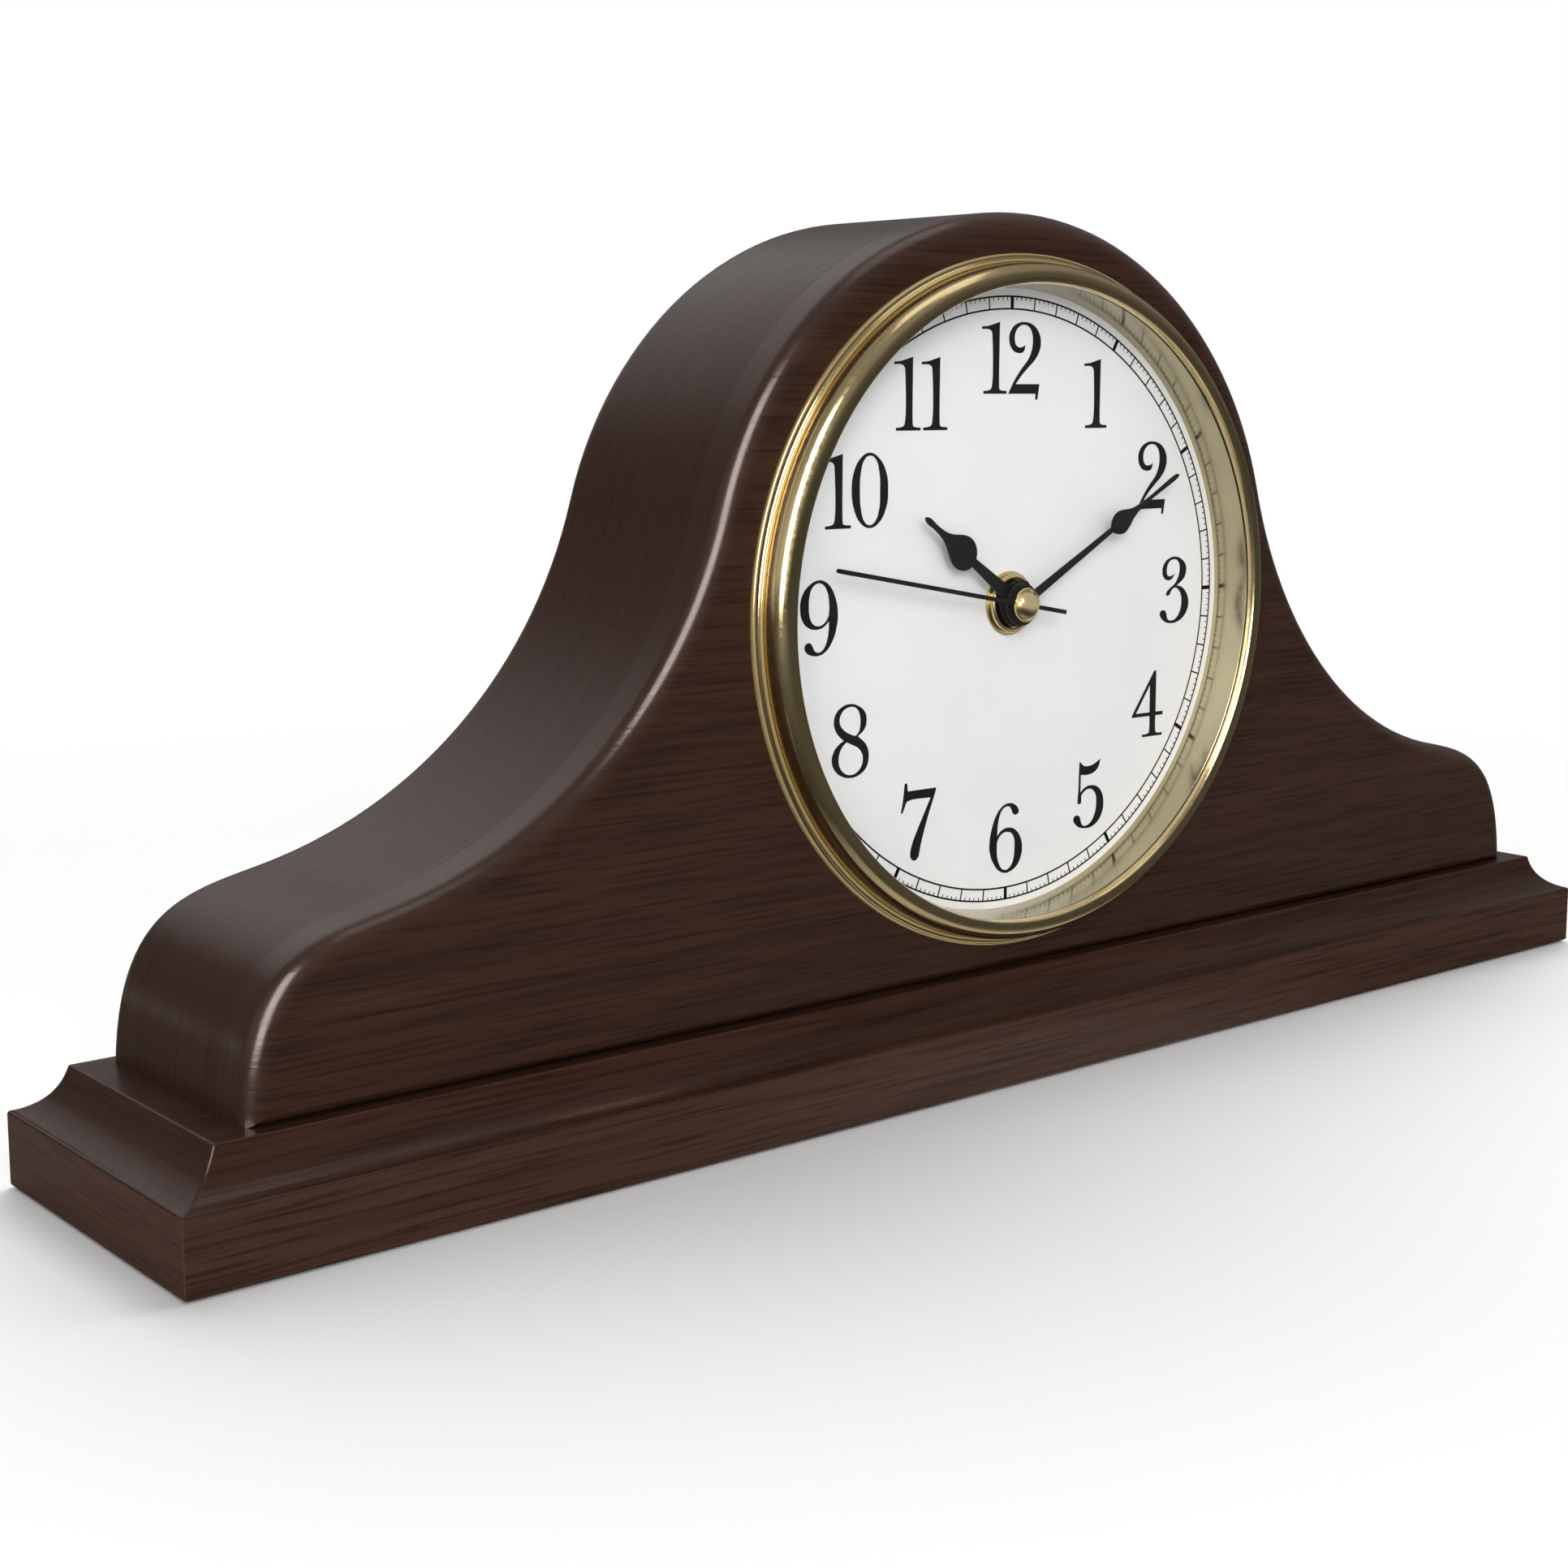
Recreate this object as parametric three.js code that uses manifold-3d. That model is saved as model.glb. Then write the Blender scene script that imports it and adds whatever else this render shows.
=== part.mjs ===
// Wooden tambour mantel clock with a quartz movement.
// Millimetres, +Z up. The dial faces -Y, X runs along the base and the table top is z = 0.
import * as THREE from 'three';
import { mergeVertices } from 'three/addons/utils/BufferGeometryUtils.js';
import Module from 'manifold-3d';

const wasm = await Module();
wasm.setup();

// Plinth and felt pads
const PLINTH_LENGTH = 420;
const PLINTH_DEPTH = 79.5;
const PLINTH_BAND = 15;
const COVE_RISE = 9.4;
const COVE_AT_ENDS = 9.8;
const COVE_AT_FRONT = 7.5;
const COVE_SAG = 1.9;
const PAD_RADIUS = 9;
const PAD_THICKNESS = 1.5;
const PAD_POCKET_DEPTH = 1;
const PAD_INSET = 16;

// Case: outline seen from the front
const DECK_MARGIN_AT_ENDS = 7.5;
const DECK_MARGIN_AT_FRONT = 2.85;
const DECK_MARGIN_AT_REAR = 1.25;
const CASE_ROUNDOVER = 5;
const BEZEL_ABOVE_DECK = 5.1;
const WOOD_ROUND_BEZEL = 8.8;
const NECK_START_ANGLE = 16;
const SHOULDER_REACH = 35.9;
const SHOULDER_RISE = 36.6;
const SHOULDER_SLOPE_PULL = 17.9;
const SHOULDER_END_PULL = 33.3;
const END_LEAN = 3.3;

// Case: boards, blocks and screws
const FRONT_BOARD_THICKNESS = 12;
const HOOD_WALL = 10;
const BACK_REBATE = 6.5;
const BACK_RECESS = 3;
const BACK_PANEL_THICKNESS = 5;
const BACK_OPENING_RADIUS = 55;
const BLOCK_WIDTH = 20;
const BLOCK_HEIGHT = 16;
const BLOCK_INSET = 32;
const BLOCK_SCREW_OFFSET = 4.5;
const POST_SIZE = 12;
const SCREW_RADIUS = 1.9;
const SCREW_HEAD_RADIUS = 3.8;
const SCREW_HEAD_HEIGHT = 2.4;
const SCREW_SLOT_WIDTH = 0.9;
const SCREW_SLOT_DEPTH = 1.2;
const SCREW_SLOT_REACH = 2.3;
const SCREW_HEAD_TOP_RADIUS = 3;
const SCREW_POINT = 2.85;
const SCREW_BITE = 10;
const BASE_SCREW_SINK = 8;
const BASE_SCREW_INSET = 8.4;

// Bezel, lens and dial
const BEZEL_RADIUS = 78.3;
const BEZEL_WIDTH = 6.3;
const BEZEL_HEIGHT = 7.7;
const SLEEVE_WALL = 2;
const SLEEVE_BEHIND_BOARD = 4;
const RETAINER_WIDTH = 2.3;
const RETAINER_THICKNESS = 3;
const LENS_THICKNESS = 1.8;
const LENS_BELOW_LIP = 0.7;
const DIAL_BELOW_CASE_FRONT = 4.6;
const DIAL_THICKNESS = 1;
const REFLECTOR_EDGE = 0.5;
const REFLECTOR_FOOT = 1.1;
const DIAL_LEDGE_WIDTH = 5;
const DIAL_LEDGE_THICKNESS = 1.2;

// Bezel profile: beads as [in from the outer edge, forward of the case] and [out from the lip, back
// from the bezel's front], with a cove between them
const OUTER_BEADS = [[0, 0], [0, 0.8], [0.6, 1.3], [1.1, 1.2], [1.3, 2.2]];
const LIP_BEAD = [[1.3, 0.2], [0.7, 0], [0, 0.4]];
const BEZEL_COVE_FOOT = [2.1, 2.6];
const BEZEL_COVE_TOP = [1.6, 1.1];
const BEZEL_COVE_PULL = [0.7, 0.9];
const BEZEL_COVE_STEPS = 3;

// Hands, at 10 minutes past 10
const HOUR_HAND_ANGLE = 305.7;
const MINUTE_HAND_ANGLE = 61.4;
const SECOND_HAND_ANGLE = 280.6;
const HAND_THICKNESS = 0.4;
const HAND_GAP = 0.35;
const HUB_RADIUS = 5.2;
const HUB_HEIGHT = 0.6;
const HOUR_HAND_LENGTH = 35;
const HOUR_STEM_ROOT = 1.9;
const HOUR_STEM_END = 1;
const HOUR_BLADE_START = 17.2;
const HOUR_BLADE_LENGTH = 11.5;
const HOUR_BLADE_HALF_WIDTH = 3.9;
const HOUR_TIP = 0.5;
const MINUTE_HAND_LENGTH = 58.8;
const MINUTE_STEM_ROOT = 1.1;
const MINUTE_STEM_END = 0.6;
const MINUTE_BLADE_START = 33;
const MINUTE_BLADE_LENGTH = 10;
const MINUTE_BLADE_HALF_WIDTH = 2.7;
const MINUTE_TIP = 0.4;
const BLADE_STEP = 0.05;
const BLADE_STEP_WIDENING = 1.3;
const SECOND_HAND_LENGTH = 56.5;
const SECOND_TAIL_LENGTH = 13.5;
const SECOND_HAND_WIDTH = 1;
const SECOND_TIP_SHARE = 0.8;
const SECOND_HUB_RADIUS = 2.4;
const CAP_RADIUS = 3.9;
const CAP_SIDE = 0.8;
const CAP_DOME = 1.6;
const CAP_DOME_SHARES = [0.35, 0.65, 0.88];
const TIP_ANGLES = [60, 90, 120];

// Spade blade: half width at shares of its length, as shares of its widest half width
const SPADE_PROFILE = [[0.07, 0.9], [0.2, 1], [0.35, 0.907], [0.55, 0.633], [0.75, 0.367], [1, 0.227]];

// Movement: shells and what clamps them to the dial
const SHELL_DEPTH = 16;
const SHELL_WALL = 1.2;
const SHELL_CORNER = 3;
const SHELL_SPLIT = 8;
const RUBBER_THICKNESS = 1;
const RUBBER_RADIUS = 9;
const BUSH_RADIUS = 4;
const BUSH_FLANGE_RADIUS = 5.6;
const BUSH_FLANGE_THICKNESS = 0.4;
const WASHER_RADIUS = 7.3;
const WASHER_THICKNESS = 0.6;
const NUT_RADIUS = 6.6;
const NUT_THICKNESS = 1.4;
const NUT_RIM = 0.56;
const NUT_CHAMFER = 0.5;

// Movement: arbors and wheels
const SECOND_ARBOR_RADIUS = 0.5;
const MINUTE_TUBE_RADIUS = 1.4;
const HOUR_TUBE_RADIUS = 2.1;
const TUBE_CLEARANCE = 0.12;
const PIVOT_RADIUS = 0.5;
const PIVOT_DEPTH = 1;
const PIVOT_POST_RADIUS = 1.2;
const WHEEL_THICKNESS = 0.9;
const WHEEL_GAP = 0.4;
const PIN_RADIUS = 0.35;
const MODULE = 0.4;
const TOOTH_ADDENDUM = 0.7;
const TOOTH_DEDENDUM = 1.05;
const TOOTH_ROOT_SHARE = 0.56;
const THIRD_AXIS_DISTANCE = 9.8;
const THIRD_AXIS_ANGLE = 150;
const INTERMEDIATE_AXIS_ANGLE = 20;
const ROTOR_AXIS_ANGLE = -10;
const SETTING_AXIS_ANGLE = 60;
const STEM_RADIUS = 1;
const KNOB_RADIUS = 4.6;
const KNOB_THICKNESS = 4;
const KNOB_STANDOFF = 1;
const KNOB_RIBS = 16;
const KNOB_RIB_DEPTH = 0.4;

// Tooth counts
const CENTRE_WHEEL_TEETH = 48;
const THIRD_PINION_TEETH = 6;
const THIRD_WHEEL_TEETH = 45;
const SECOND_PINION_TEETH = 6;
const SECOND_WHEEL_TEETH = 36;
const INTERMEDIATE_PINION_TEETH = 6;
const INTERMEDIATE_WHEEL_TEETH = 30;
const ROTOR_PINION_TEETH = 6;
const CANNON_PINION_TEETH = 10;
const MINUTE_WHEEL_TEETH = 30;
const MINUTE_PINION_TEETH = 8;
const HOUR_WHEEL_TEETH = 32;
const SETTING_PINION_TEETH = 12;

// Movement: motor, circuit and cell
const MAGNET_RADIUS = 2.6;
const MAGNET_LENGTH = 3;
const STATOR_GAP = 0.6;
const STATOR_RIM = 2;
const STATOR_THICKNESS = 1;
const STATOR_ARM = 3;
const STATOR_POST_RISE = 9;
const CORE_HEIGHT = 2.4;
const MOTOR_CLEARANCE = 0.7;
const COIL_RADIUS = 3.2;
const BOBBIN_WALL = 0.5;
const BOBBIN_END_GAP = 2;
const BOBBIN_FLANGE = 3.6;
const BOBBIN_FLANGE_THICKNESS = 0.8;
const BOARD_WIDTH = 14;
const BOARD_HEIGHT = 28;
const BOARD_THICKNESS = 0.8;
const BOARD_STANDOFF = 2.5;
const BOARD_POST_INSET = 4;
const CRYSTAL_RADIUS = 1;
const CRYSTAL_LENGTH = 6;
const CRYSTAL_INSET = 2;
const CHIP_SIZE = 4;
const CHIP_THICKNESS = 1.2;
const CELL_RADIUS = 7.25;
const CELL_LENGTH = 49;
const CELL_NUB_RADIUS = 2.7;
const CELL_NUB_LENGTH = 1.5;
const CELL_CRIMP = 0.6;
const BAY_RIB = 1;
const CONTACT_THICKNESS = 0.4;
const CONTACT_WIDTH = 10;
const CONTACT_SPRING = 1.7;
const SPRING_FOOT_RADIUS = 4;
const SPRING_TIP_RADIUS = 1.5;

// Clearances and fineness
const CLEARANCE = 0.3;
const OVERSHOOT = 1;
const EMBED = 0.4;
const ROUND_LARGE = 48;
const ROUND_MEDIUM = 20;
const ROUND_SMALL = 12;
const ROUND_SCREW = 10;
const CURVE_STEPS = 7;
const CORNER_STEPS = 2;
const ROUNDOVER_STEPS = 3;

// Colours, roughness and metalness of each finish
const WOOD = { color: 0x3a2319, roughness: 0.35, metalness: 0 };
const RAW_WOOD = { color: 0x8a6a4a, roughness: 0.7, metalness: 0 };
const BACK_BOARD = { color: 0x1c1612, roughness: 0.7, metalness: 0 };
const GOLD = { color: 0xb8a068, roughness: 0.2, metalness: 1 };
const BRASS = { color: 0xb59a55, roughness: 0.3, metalness: 1 };
const STEEL = { color: 0x9a9a9c, roughness: 0.35, metalness: 1 };
const WHITE_ENAMEL = { color: 0xf0f0f0, roughness: 0.6, metalness: 0 };
const BLACK_ENAMEL = { color: 0x141414, roughness: 0.4, metalness: 0 };
const BLACK_PLASTIC = { color: 0x1c1c1e, roughness: 0.5, metalness: 0 };
const WHITE_PLASTIC = { color: 0xe6e4dc, roughness: 0.5, metalness: 0 };
const RUBBER = { color: 0x202020, roughness: 0.9, metalness: 0 };
const FELT = { color: 0x26221f, roughness: 1, metalness: 0 };
const GLASS = { color: 0xffffff, roughness: 0.03, metalness: 0, transparent: true, opacity: 0.15 };
const COPPER = { color: 0xb06a3a, roughness: 0.35, metalness: 1 };
const CIRCUIT_GREEN = { color: 0x24553a, roughness: 0.5, metalness: 0 };
const CELL_JACKET = { color: 0x2b4a6b, roughness: 0.35, metalness: 0.2 };

// Heights and depths that follow from the sizes above
const PLINTH_UNDERSIDE = PAD_THICKNESS - PAD_POCKET_DEPTH;
const DECK = PLINTH_UNDERSIDE + PLINTH_BAND + COVE_RISE;
const HANDS = DECK + BEZEL_ABOVE_DECK + BEZEL_RADIUS;
const TOP_RADIUS = BEZEL_RADIUS + WOOD_ROUND_BEZEL;
const CASE_LENGTH = PLINTH_LENGTH - 2 * (COVE_AT_ENDS + DECK_MARGIN_AT_ENDS);
const DECK_HALF_DEPTH = PLINTH_DEPTH / 2 - COVE_AT_FRONT;
const CASE_FRONT = -DECK_HALF_DEPTH + DECK_MARGIN_AT_FRONT;
const CASE_REAR = DECK_HALF_DEPTH - DECK_MARGIN_AT_REAR;
const BOARD_REAR = CASE_FRONT + FRONT_BOARD_THICKNESS;
const PANEL_REAR = CASE_REAR - BACK_RECESS;
const PANEL_FRONT = PANEL_REAR - BACK_PANEL_THICKNESS;
const BLOCK_X = CASE_LENGTH / 2 - BLOCK_INSET;
const BELOW_DECK = 20;
const BEZEL_FRONT = CASE_FRONT - BEZEL_HEIGHT;
const LENS_FRONT = BEZEL_FRONT + LENS_BELOW_LIP;
const LENS_REAR = LENS_FRONT + LENS_THICKNESS;
const DIAL_FRONT = CASE_FRONT + DIAL_BELOW_CASE_FRONT;
const DIAL_REAR = DIAL_FRONT + DIAL_THICKNESS;
const BEZEL_LIP_RADIUS = BEZEL_RADIUS - BEZEL_WIDTH;
const SLEEVE_RADIUS = BEZEL_LIP_RADIUS + SLEEVE_WALL;
const RETAINER_BORE = SLEEVE_RADIUS + CLEARANCE;
const RETAINER_RADIUS = RETAINER_BORE + RETAINER_WIDTH;
const RETAINER_REAR = BOARD_REAR + RETAINER_THICKNESS;
const SHELL_FRONT = DIAL_REAR + RUBBER_THICKNESS;
const INSIDE_CORNER = SHELL_CORNER - SHELL_WALL;
const SHELL_INSIDE_FRONT = SHELL_FRONT + SHELL_WALL;
const SHELL_REAR = SHELL_FRONT + SHELL_DEPTH;
const SHELL_INSIDE_REAR = SHELL_REAR - SHELL_WALL;
const SHELL_SEAM = SHELL_FRONT + SHELL_SPLIT;
const SHELL_SIZE = CELL_LENGTH + CELL_NUB_LENGTH + CONTACT_SPRING
  + 2 * (CLEARANCE + CONTACT_THICKNESS + SHELL_WALL);
const SHELL_INSIDE = SHELL_SIZE / 2 - SHELL_WALL;
const NUT_REAR = DIAL_FRONT - WASHER_THICKNESS;
const NUT_FRONT = NUT_REAR - NUT_THICKNESS;
const HOUR_HUB_REAR = NUT_FRONT - HAND_GAP;
const HOUR_HAND_FRONT = HOUR_HUB_REAR - HUB_HEIGHT - HAND_THICKNESS;
const MINUTE_HUB_REAR = HOUR_HAND_FRONT - HAND_GAP;
const MINUTE_HAND_FRONT = MINUTE_HUB_REAR - HUB_HEIGHT - HAND_THICKNESS;
const SECOND_HAND_REAR = MINUTE_HAND_FRONT - HAND_GAP;
const SECOND_HAND_FRONT = SECOND_HAND_REAR - HAND_THICKNESS;
const TUBE_SHORT_OF_FACE = 0.15;

// Wheel planes, front to rear: each is the front face of one layer of wheels
const WHEEL_STEP = WHEEL_THICKNESS + WHEEL_GAP;
const FIRST_PLANE = SHELL_INSIDE_FRONT + BUSH_FLANGE_THICKNESS + CLEARANCE;
const HOUR_PLANE = FIRST_PLANE;
const CANNON_PLANE = FIRST_PLANE + WHEEL_STEP;
const CENTRE_PLANE = FIRST_PLANE + 2 * WHEEL_STEP;
const THIRD_PLANE = FIRST_PLANE + 3 * WHEEL_STEP;
const SECOND_PLANE = FIRST_PLANE + 4 * WHEEL_STEP;
const ROTOR_PLANE = FIRST_PLANE + 5 * WHEEL_STEP;
const MAGNET_FRONT = ROTOR_PLANE + WHEEL_STEP;
const STATOR_FRONT = MAGNET_FRONT + (MAGNET_LENGTH - STATOR_THICKNESS) / 2;
const STATOR_REAR = STATOR_FRONT + STATOR_THICKNESS;
const CORE_FRONT = STATOR_FRONT - STATOR_THICKNESS;

// Axes of the wheels, as x and z from the hand axis
const polar = (distance, degrees) => {
  const angle = THREE.MathUtils.degToRad(degrees);
  return new THREE.Vector2(distance * Math.cos(angle), distance * Math.sin(angle));
};
const meshDistance = (module, teethA, teethB) => (module * (teethA + teethB)) / 2;
const HAND_AXIS = new THREE.Vector2(0, 0);
const THIRD_AXIS = polar(THIRD_AXIS_DISTANCE, THIRD_AXIS_ANGLE);
const INTERMEDIATE_AXIS = polar(
  meshDistance(MODULE, SECOND_WHEEL_TEETH, INTERMEDIATE_PINION_TEETH),
  INTERMEDIATE_AXIS_ANGLE,
);
const ROTOR_AXIS = polar(
  meshDistance(MODULE, INTERMEDIATE_WHEEL_TEETH, ROTOR_PINION_TEETH),
  ROTOR_AXIS_ANGLE,
).add(INTERMEDIATE_AXIS);
const MINUTE_WHEEL_AXIS = polar(meshDistance(MODULE, CANNON_PINION_TEETH, MINUTE_WHEEL_TEETH), 90);
const SETTING_AXIS = polar(
  meshDistance(MODULE, MINUTE_WHEEL_TEETH, SETTING_PINION_TEETH),
  SETTING_AXIS_ANGLE,
).add(MINUTE_WHEEL_AXIS);
const CENTRE_MODULE = (2 * THIRD_AXIS_DISTANCE) / (CENTRE_WHEEL_TEETH + THIRD_PINION_TEETH);
const THIRD_MODULE = (2 * THIRD_AXIS_DISTANCE) / (THIRD_WHEEL_TEETH + SECOND_PINION_TEETH);
const HOUR_MODULE = (2 * MINUTE_WHEEL_AXIS.length()) / (MINUTE_PINION_TEETH + HOUR_WHEEL_TEETH);

// Solids from three.js geometries

function solid(geometry) {
  const bare = geometry.clone();
  bare.deleteAttribute('normal');
  bare.deleteAttribute('uv');
  const merged = mergeVertices(bare, 1e-5);
  const corners = merged.index.array;
  const kept = [];
  for (let i = 0; i < corners.length; i += 3) {
    const [a, b, c] = [corners[i], corners[i + 1], corners[i + 2]];
    if (a !== b && b !== c && c !== a) kept.push(a, b, c);
  }
  const body = new wasm.Manifold(new wasm.Mesh({
    numProp: 3,
    vertProperties: new Float32Array(merged.attributes.position.array),
    triVerts: new Uint32Array(kept),
  }));
  return body;
}

function geometryOf(body) {
  const mesh = body.getMesh();
  const geometry = new THREE.BufferGeometry();
  geometry.setAttribute('position', new THREE.BufferAttribute(mesh.vertProperties, 3));
  geometry.setIndex(new THREE.BufferAttribute(mesh.triVerts, 1));
  geometry.computeVertexNormals();
  return geometry;
}

const join = (...bodies) => bodies.reduce((whole, body) => whole.add(body));
const cut = (body, ...tools) => tools.reduce((rest, tool) => rest.subtract(tool), body);

function box(x0, x1, y0, y1, z0, z1) {
  const geometry = new THREE.BoxGeometry(x1 - x0, y1 - y0, z1 - z0);
  geometry.translate((x0 + x1) / 2, (y0 + y1) / 2, (z0 + z1) / 2);
  return solid(geometry);
}

// A profile of [radius, depth] points turned about an axis along Y, outer side from rear to front.
function turned(profile, segments, axis = HAND_AXIS) {
  const points = profile.map(([radius, depth]) => new THREE.Vector2(radius, -depth));
  const geometry = new THREE.LatheGeometry(points, segments);
  geometry.rotateX(Math.PI);
  geometry.translate(axis.x, 0, axis.y);
  return solid(geometry);
}

function rod(radius, y0, y1, axis = HAND_AXIS, segments = ROUND_SMALL) {
  return turned([[0, y1], [radius, y1], [radius, y0], [0, y0]], segments, axis);
}

function tube(outer, inner, y0, y1, axis = HAND_AXIS, segments = ROUND_SMALL) {
  return turned([[inner, y0], [inner, y1], [outer, y1], [outer, y0], [inner, y0]], segments, axis);
}

// A shape drawn in x and z, extruded from depth y0 to depth y1.
function plate(shape, y0, y1, bevel = {}) {
  const options = { depth: y1 - y0, bevelEnabled: false, curveSegments: CURVE_STEPS, ...bevel };
  const geometry = new THREE.ExtrudeGeometry(shape, options);
  geometry.rotateX(Math.PI / 2);
  geometry.translate(0, y1, 0);
  return solid(geometry);
}

// Places a solid that was turned about Y so that its axis stands along Z or lies along X.
const standing = (body) => body.rotate([90, 0, 0]);
const lying = (body) => body.rotate([0, 0, 90]);

function rectangle(x0, x1, z0, z1) {
  const shape = new THREE.Shape();
  shape.moveTo(x0, z0);
  shape.lineTo(x1, z0);
  shape.lineTo(x1, z1);
  shape.lineTo(x0, z1);
  shape.closePath();
  return shape;
}

function roundedSquare(half, corner) {
  const shape = new THREE.Shape();
  const flat = half - corner;
  shape.absarc(flat, flat, corner, 0, Math.PI / 2, false);
  shape.absarc(-flat, flat, corner, Math.PI / 2, Math.PI, false);
  shape.absarc(-flat, -flat, corner, Math.PI, 1.5 * Math.PI, false);
  shape.absarc(flat, -flat, corner, 1.5 * Math.PI, 2 * Math.PI, false);
  shape.closePath();
  return shape;
}

function named(name, body, finish) {
  const mesh = new THREE.Mesh(geometryOf(body), new THREE.MeshStandardMaterial(finish));
  mesh.name = name;
  return mesh;
}

// Case outline: one top arc, a concave neck on each side, a rounded shoulder and a leaning end

function caseCurves() {
  const centre = new THREE.Vector2(0, HANDS);
  const neckStart = THREE.MathUtils.degToRad(NECK_START_ANGLE);
  const outward = polar(1, NECK_START_ANGLE);
  const foot = new THREE.Vector2(CASE_LENGTH / 2, DECK);
  const neckEnd = new THREE.Vector2(foot.x - SHOULDER_REACH, DECK + SHOULDER_RISE);
  const toEnd = neckEnd.clone().sub(centre);
  const along = toEnd.dot(outward);
  const neckRadius = (toEnd.lengthSq() - 2 * TOP_RADIUS * along + TOP_RADIUS ** 2)
    / (2 * (along - TOP_RADIUS));
  const neckCentre = outward.clone().multiplyScalar(TOP_RADIUS + neckRadius).add(centre);
  const endAngle = neckEnd.clone().sub(neckCentre).angle();
  const slope = new THREE.Vector2(-Math.sin(endAngle), Math.cos(endAngle));
  const lean = polar(1, 90 + END_LEAN);
  return {
    centre,
    neckStart,
    neckRadius,
    neckCentre,
    endAngle,
    foot,
    neckEnd,
    slopeHandle: slope.multiplyScalar(SHOULDER_SLOPE_PULL).add(neckEnd),
    endHandle: lean.clone().multiplyScalar(SHOULDER_END_PULL).add(foot),
    corner: lean.clone().multiplyScalar(-BELOW_DECK).add(foot),
  };
}

const CURVES = caseCurves();

function caseOutline() {
  const { centre, neckStart, neckRadius, neckCentre, endAngle } = CURVES;
  const { foot, neckEnd, slopeHandle, endHandle, corner } = CURVES;
  const shape = new THREE.Shape();
  shape.moveTo(-corner.x, corner.y);
  shape.lineTo(corner.x, corner.y);
  shape.lineTo(foot.x, foot.y);
  shape.bezierCurveTo(endHandle.x, endHandle.y, slopeHandle.x, slopeHandle.y, neckEnd.x, neckEnd.y);
  shape.absarc(neckCentre.x, neckCentre.y, neckRadius, endAngle, Math.PI + neckStart, true);
  shape.absarc(centre.x, centre.y, TOP_RADIUS, neckStart, Math.PI - neckStart, false);
  shape.absarc(-neckCentre.x, neckCentre.y, neckRadius, -neckStart, Math.PI - endAngle, true);
  shape.bezierCurveTo(-slopeHandle.x, slopeHandle.y, -endHandle.x, endHandle.y, -foot.x, foot.y);
  shape.closePath();
  return shape;
}

// The case outline drawn a set distance further in.
function insetOutline(distance) {
  const points = caseOutline().getPoints(CURVE_STEPS);
  const loop = points.filter((point, i) => point.distanceTo(points.at(i - 1)) > 1e-6);
  const inner = loop.map((point, i) => {
    const before = point.clone().sub(loop.at(i - 1)).normalize();
    const after = loop[(i + 1) % loop.length].clone().sub(point).normalize();
    const normal = new THREE.Vector2(-before.y - after.y, before.x + after.x);
    return normal.multiplyScalar(distance / (1 + before.dot(after))).add(point);
  });
  return new THREE.Shape(inner);
}

const FAR = PLINTH_LENGTH;
const aboveDeck = (body) => body.intersect(box(-FAR, FAR, -FAR, FAR, DECK, DECK + FAR));

function caseBlock() {
  const block = plate(caseOutline(), CASE_FRONT + CASE_ROUNDOVER, CASE_REAR - CASE_ROUNDOVER, {
    bevelEnabled: true,
    bevelThickness: CASE_ROUNDOVER,
    bevelSize: CASE_ROUNDOVER,
    bevelOffset: -CASE_ROUNDOVER,
    bevelSegments: ROUNDOVER_STEPS,
  });
  return aboveDeck(block);
}

// Screws: a pan head with a crossed slot, an unthreaded shank and a point, along +Y from the head

function screw(length) {
  const body = turned([
    [0, length],
    [SCREW_RADIUS, length - SCREW_POINT],
    [SCREW_RADIUS, 0],
    [SCREW_HEAD_RADIUS, 0],
    [SCREW_HEAD_TOP_RADIUS, -SCREW_HEAD_HEIGHT],
    [0, -SCREW_HEAD_HEIGHT],
  ], ROUND_SCREW);
  const half = SCREW_SLOT_WIDTH / 2;
  const floor = -SCREW_HEAD_HEIGHT + SCREW_SLOT_DEPTH;
  const above = -SCREW_HEAD_HEIGHT - OVERSHOOT;
  return cut(
    body,
    box(-SCREW_SLOT_REACH, SCREW_SLOT_REACH, above, floor, -half, half),
    box(-half, half, above, floor, -SCREW_SLOT_REACH, SCREW_SLOT_REACH),
  );
}

const SCREW_HOLE = SCREW_RADIUS + CLEARANCE;
const POST_CENTRE = (() => {
  const { neckStart, endAngle, neckRadius, neckCentre } = CURVES;
  const middle = (Math.PI + neckStart + endAngle) / 2;
  const reach = neckRadius + HOOD_WALL + POST_SIZE;
  return new THREE.Vector2(Math.cos(middle), Math.sin(middle)).multiplyScalar(reach).add(neckCentre);
})();
const BLOCK_SCREW_Z = DECK + BLOCK_HEIGHT / 2;
const SIDES = [['left', -1], ['right', 1]];
const BASE_SCREW_X = BLOCK_X + BLOCK_SCREW_OFFSET;
const BASE_SCREW_Y = [['front', BOARD_REAR + BASE_SCREW_INSET], ['rear', PANEL_FRONT - BASE_SCREW_INSET]];
const BACK_SCREW_X = BLOCK_X - BLOCK_SCREW_OFFSET;

// Plinth with its felt pads and screws

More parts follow.
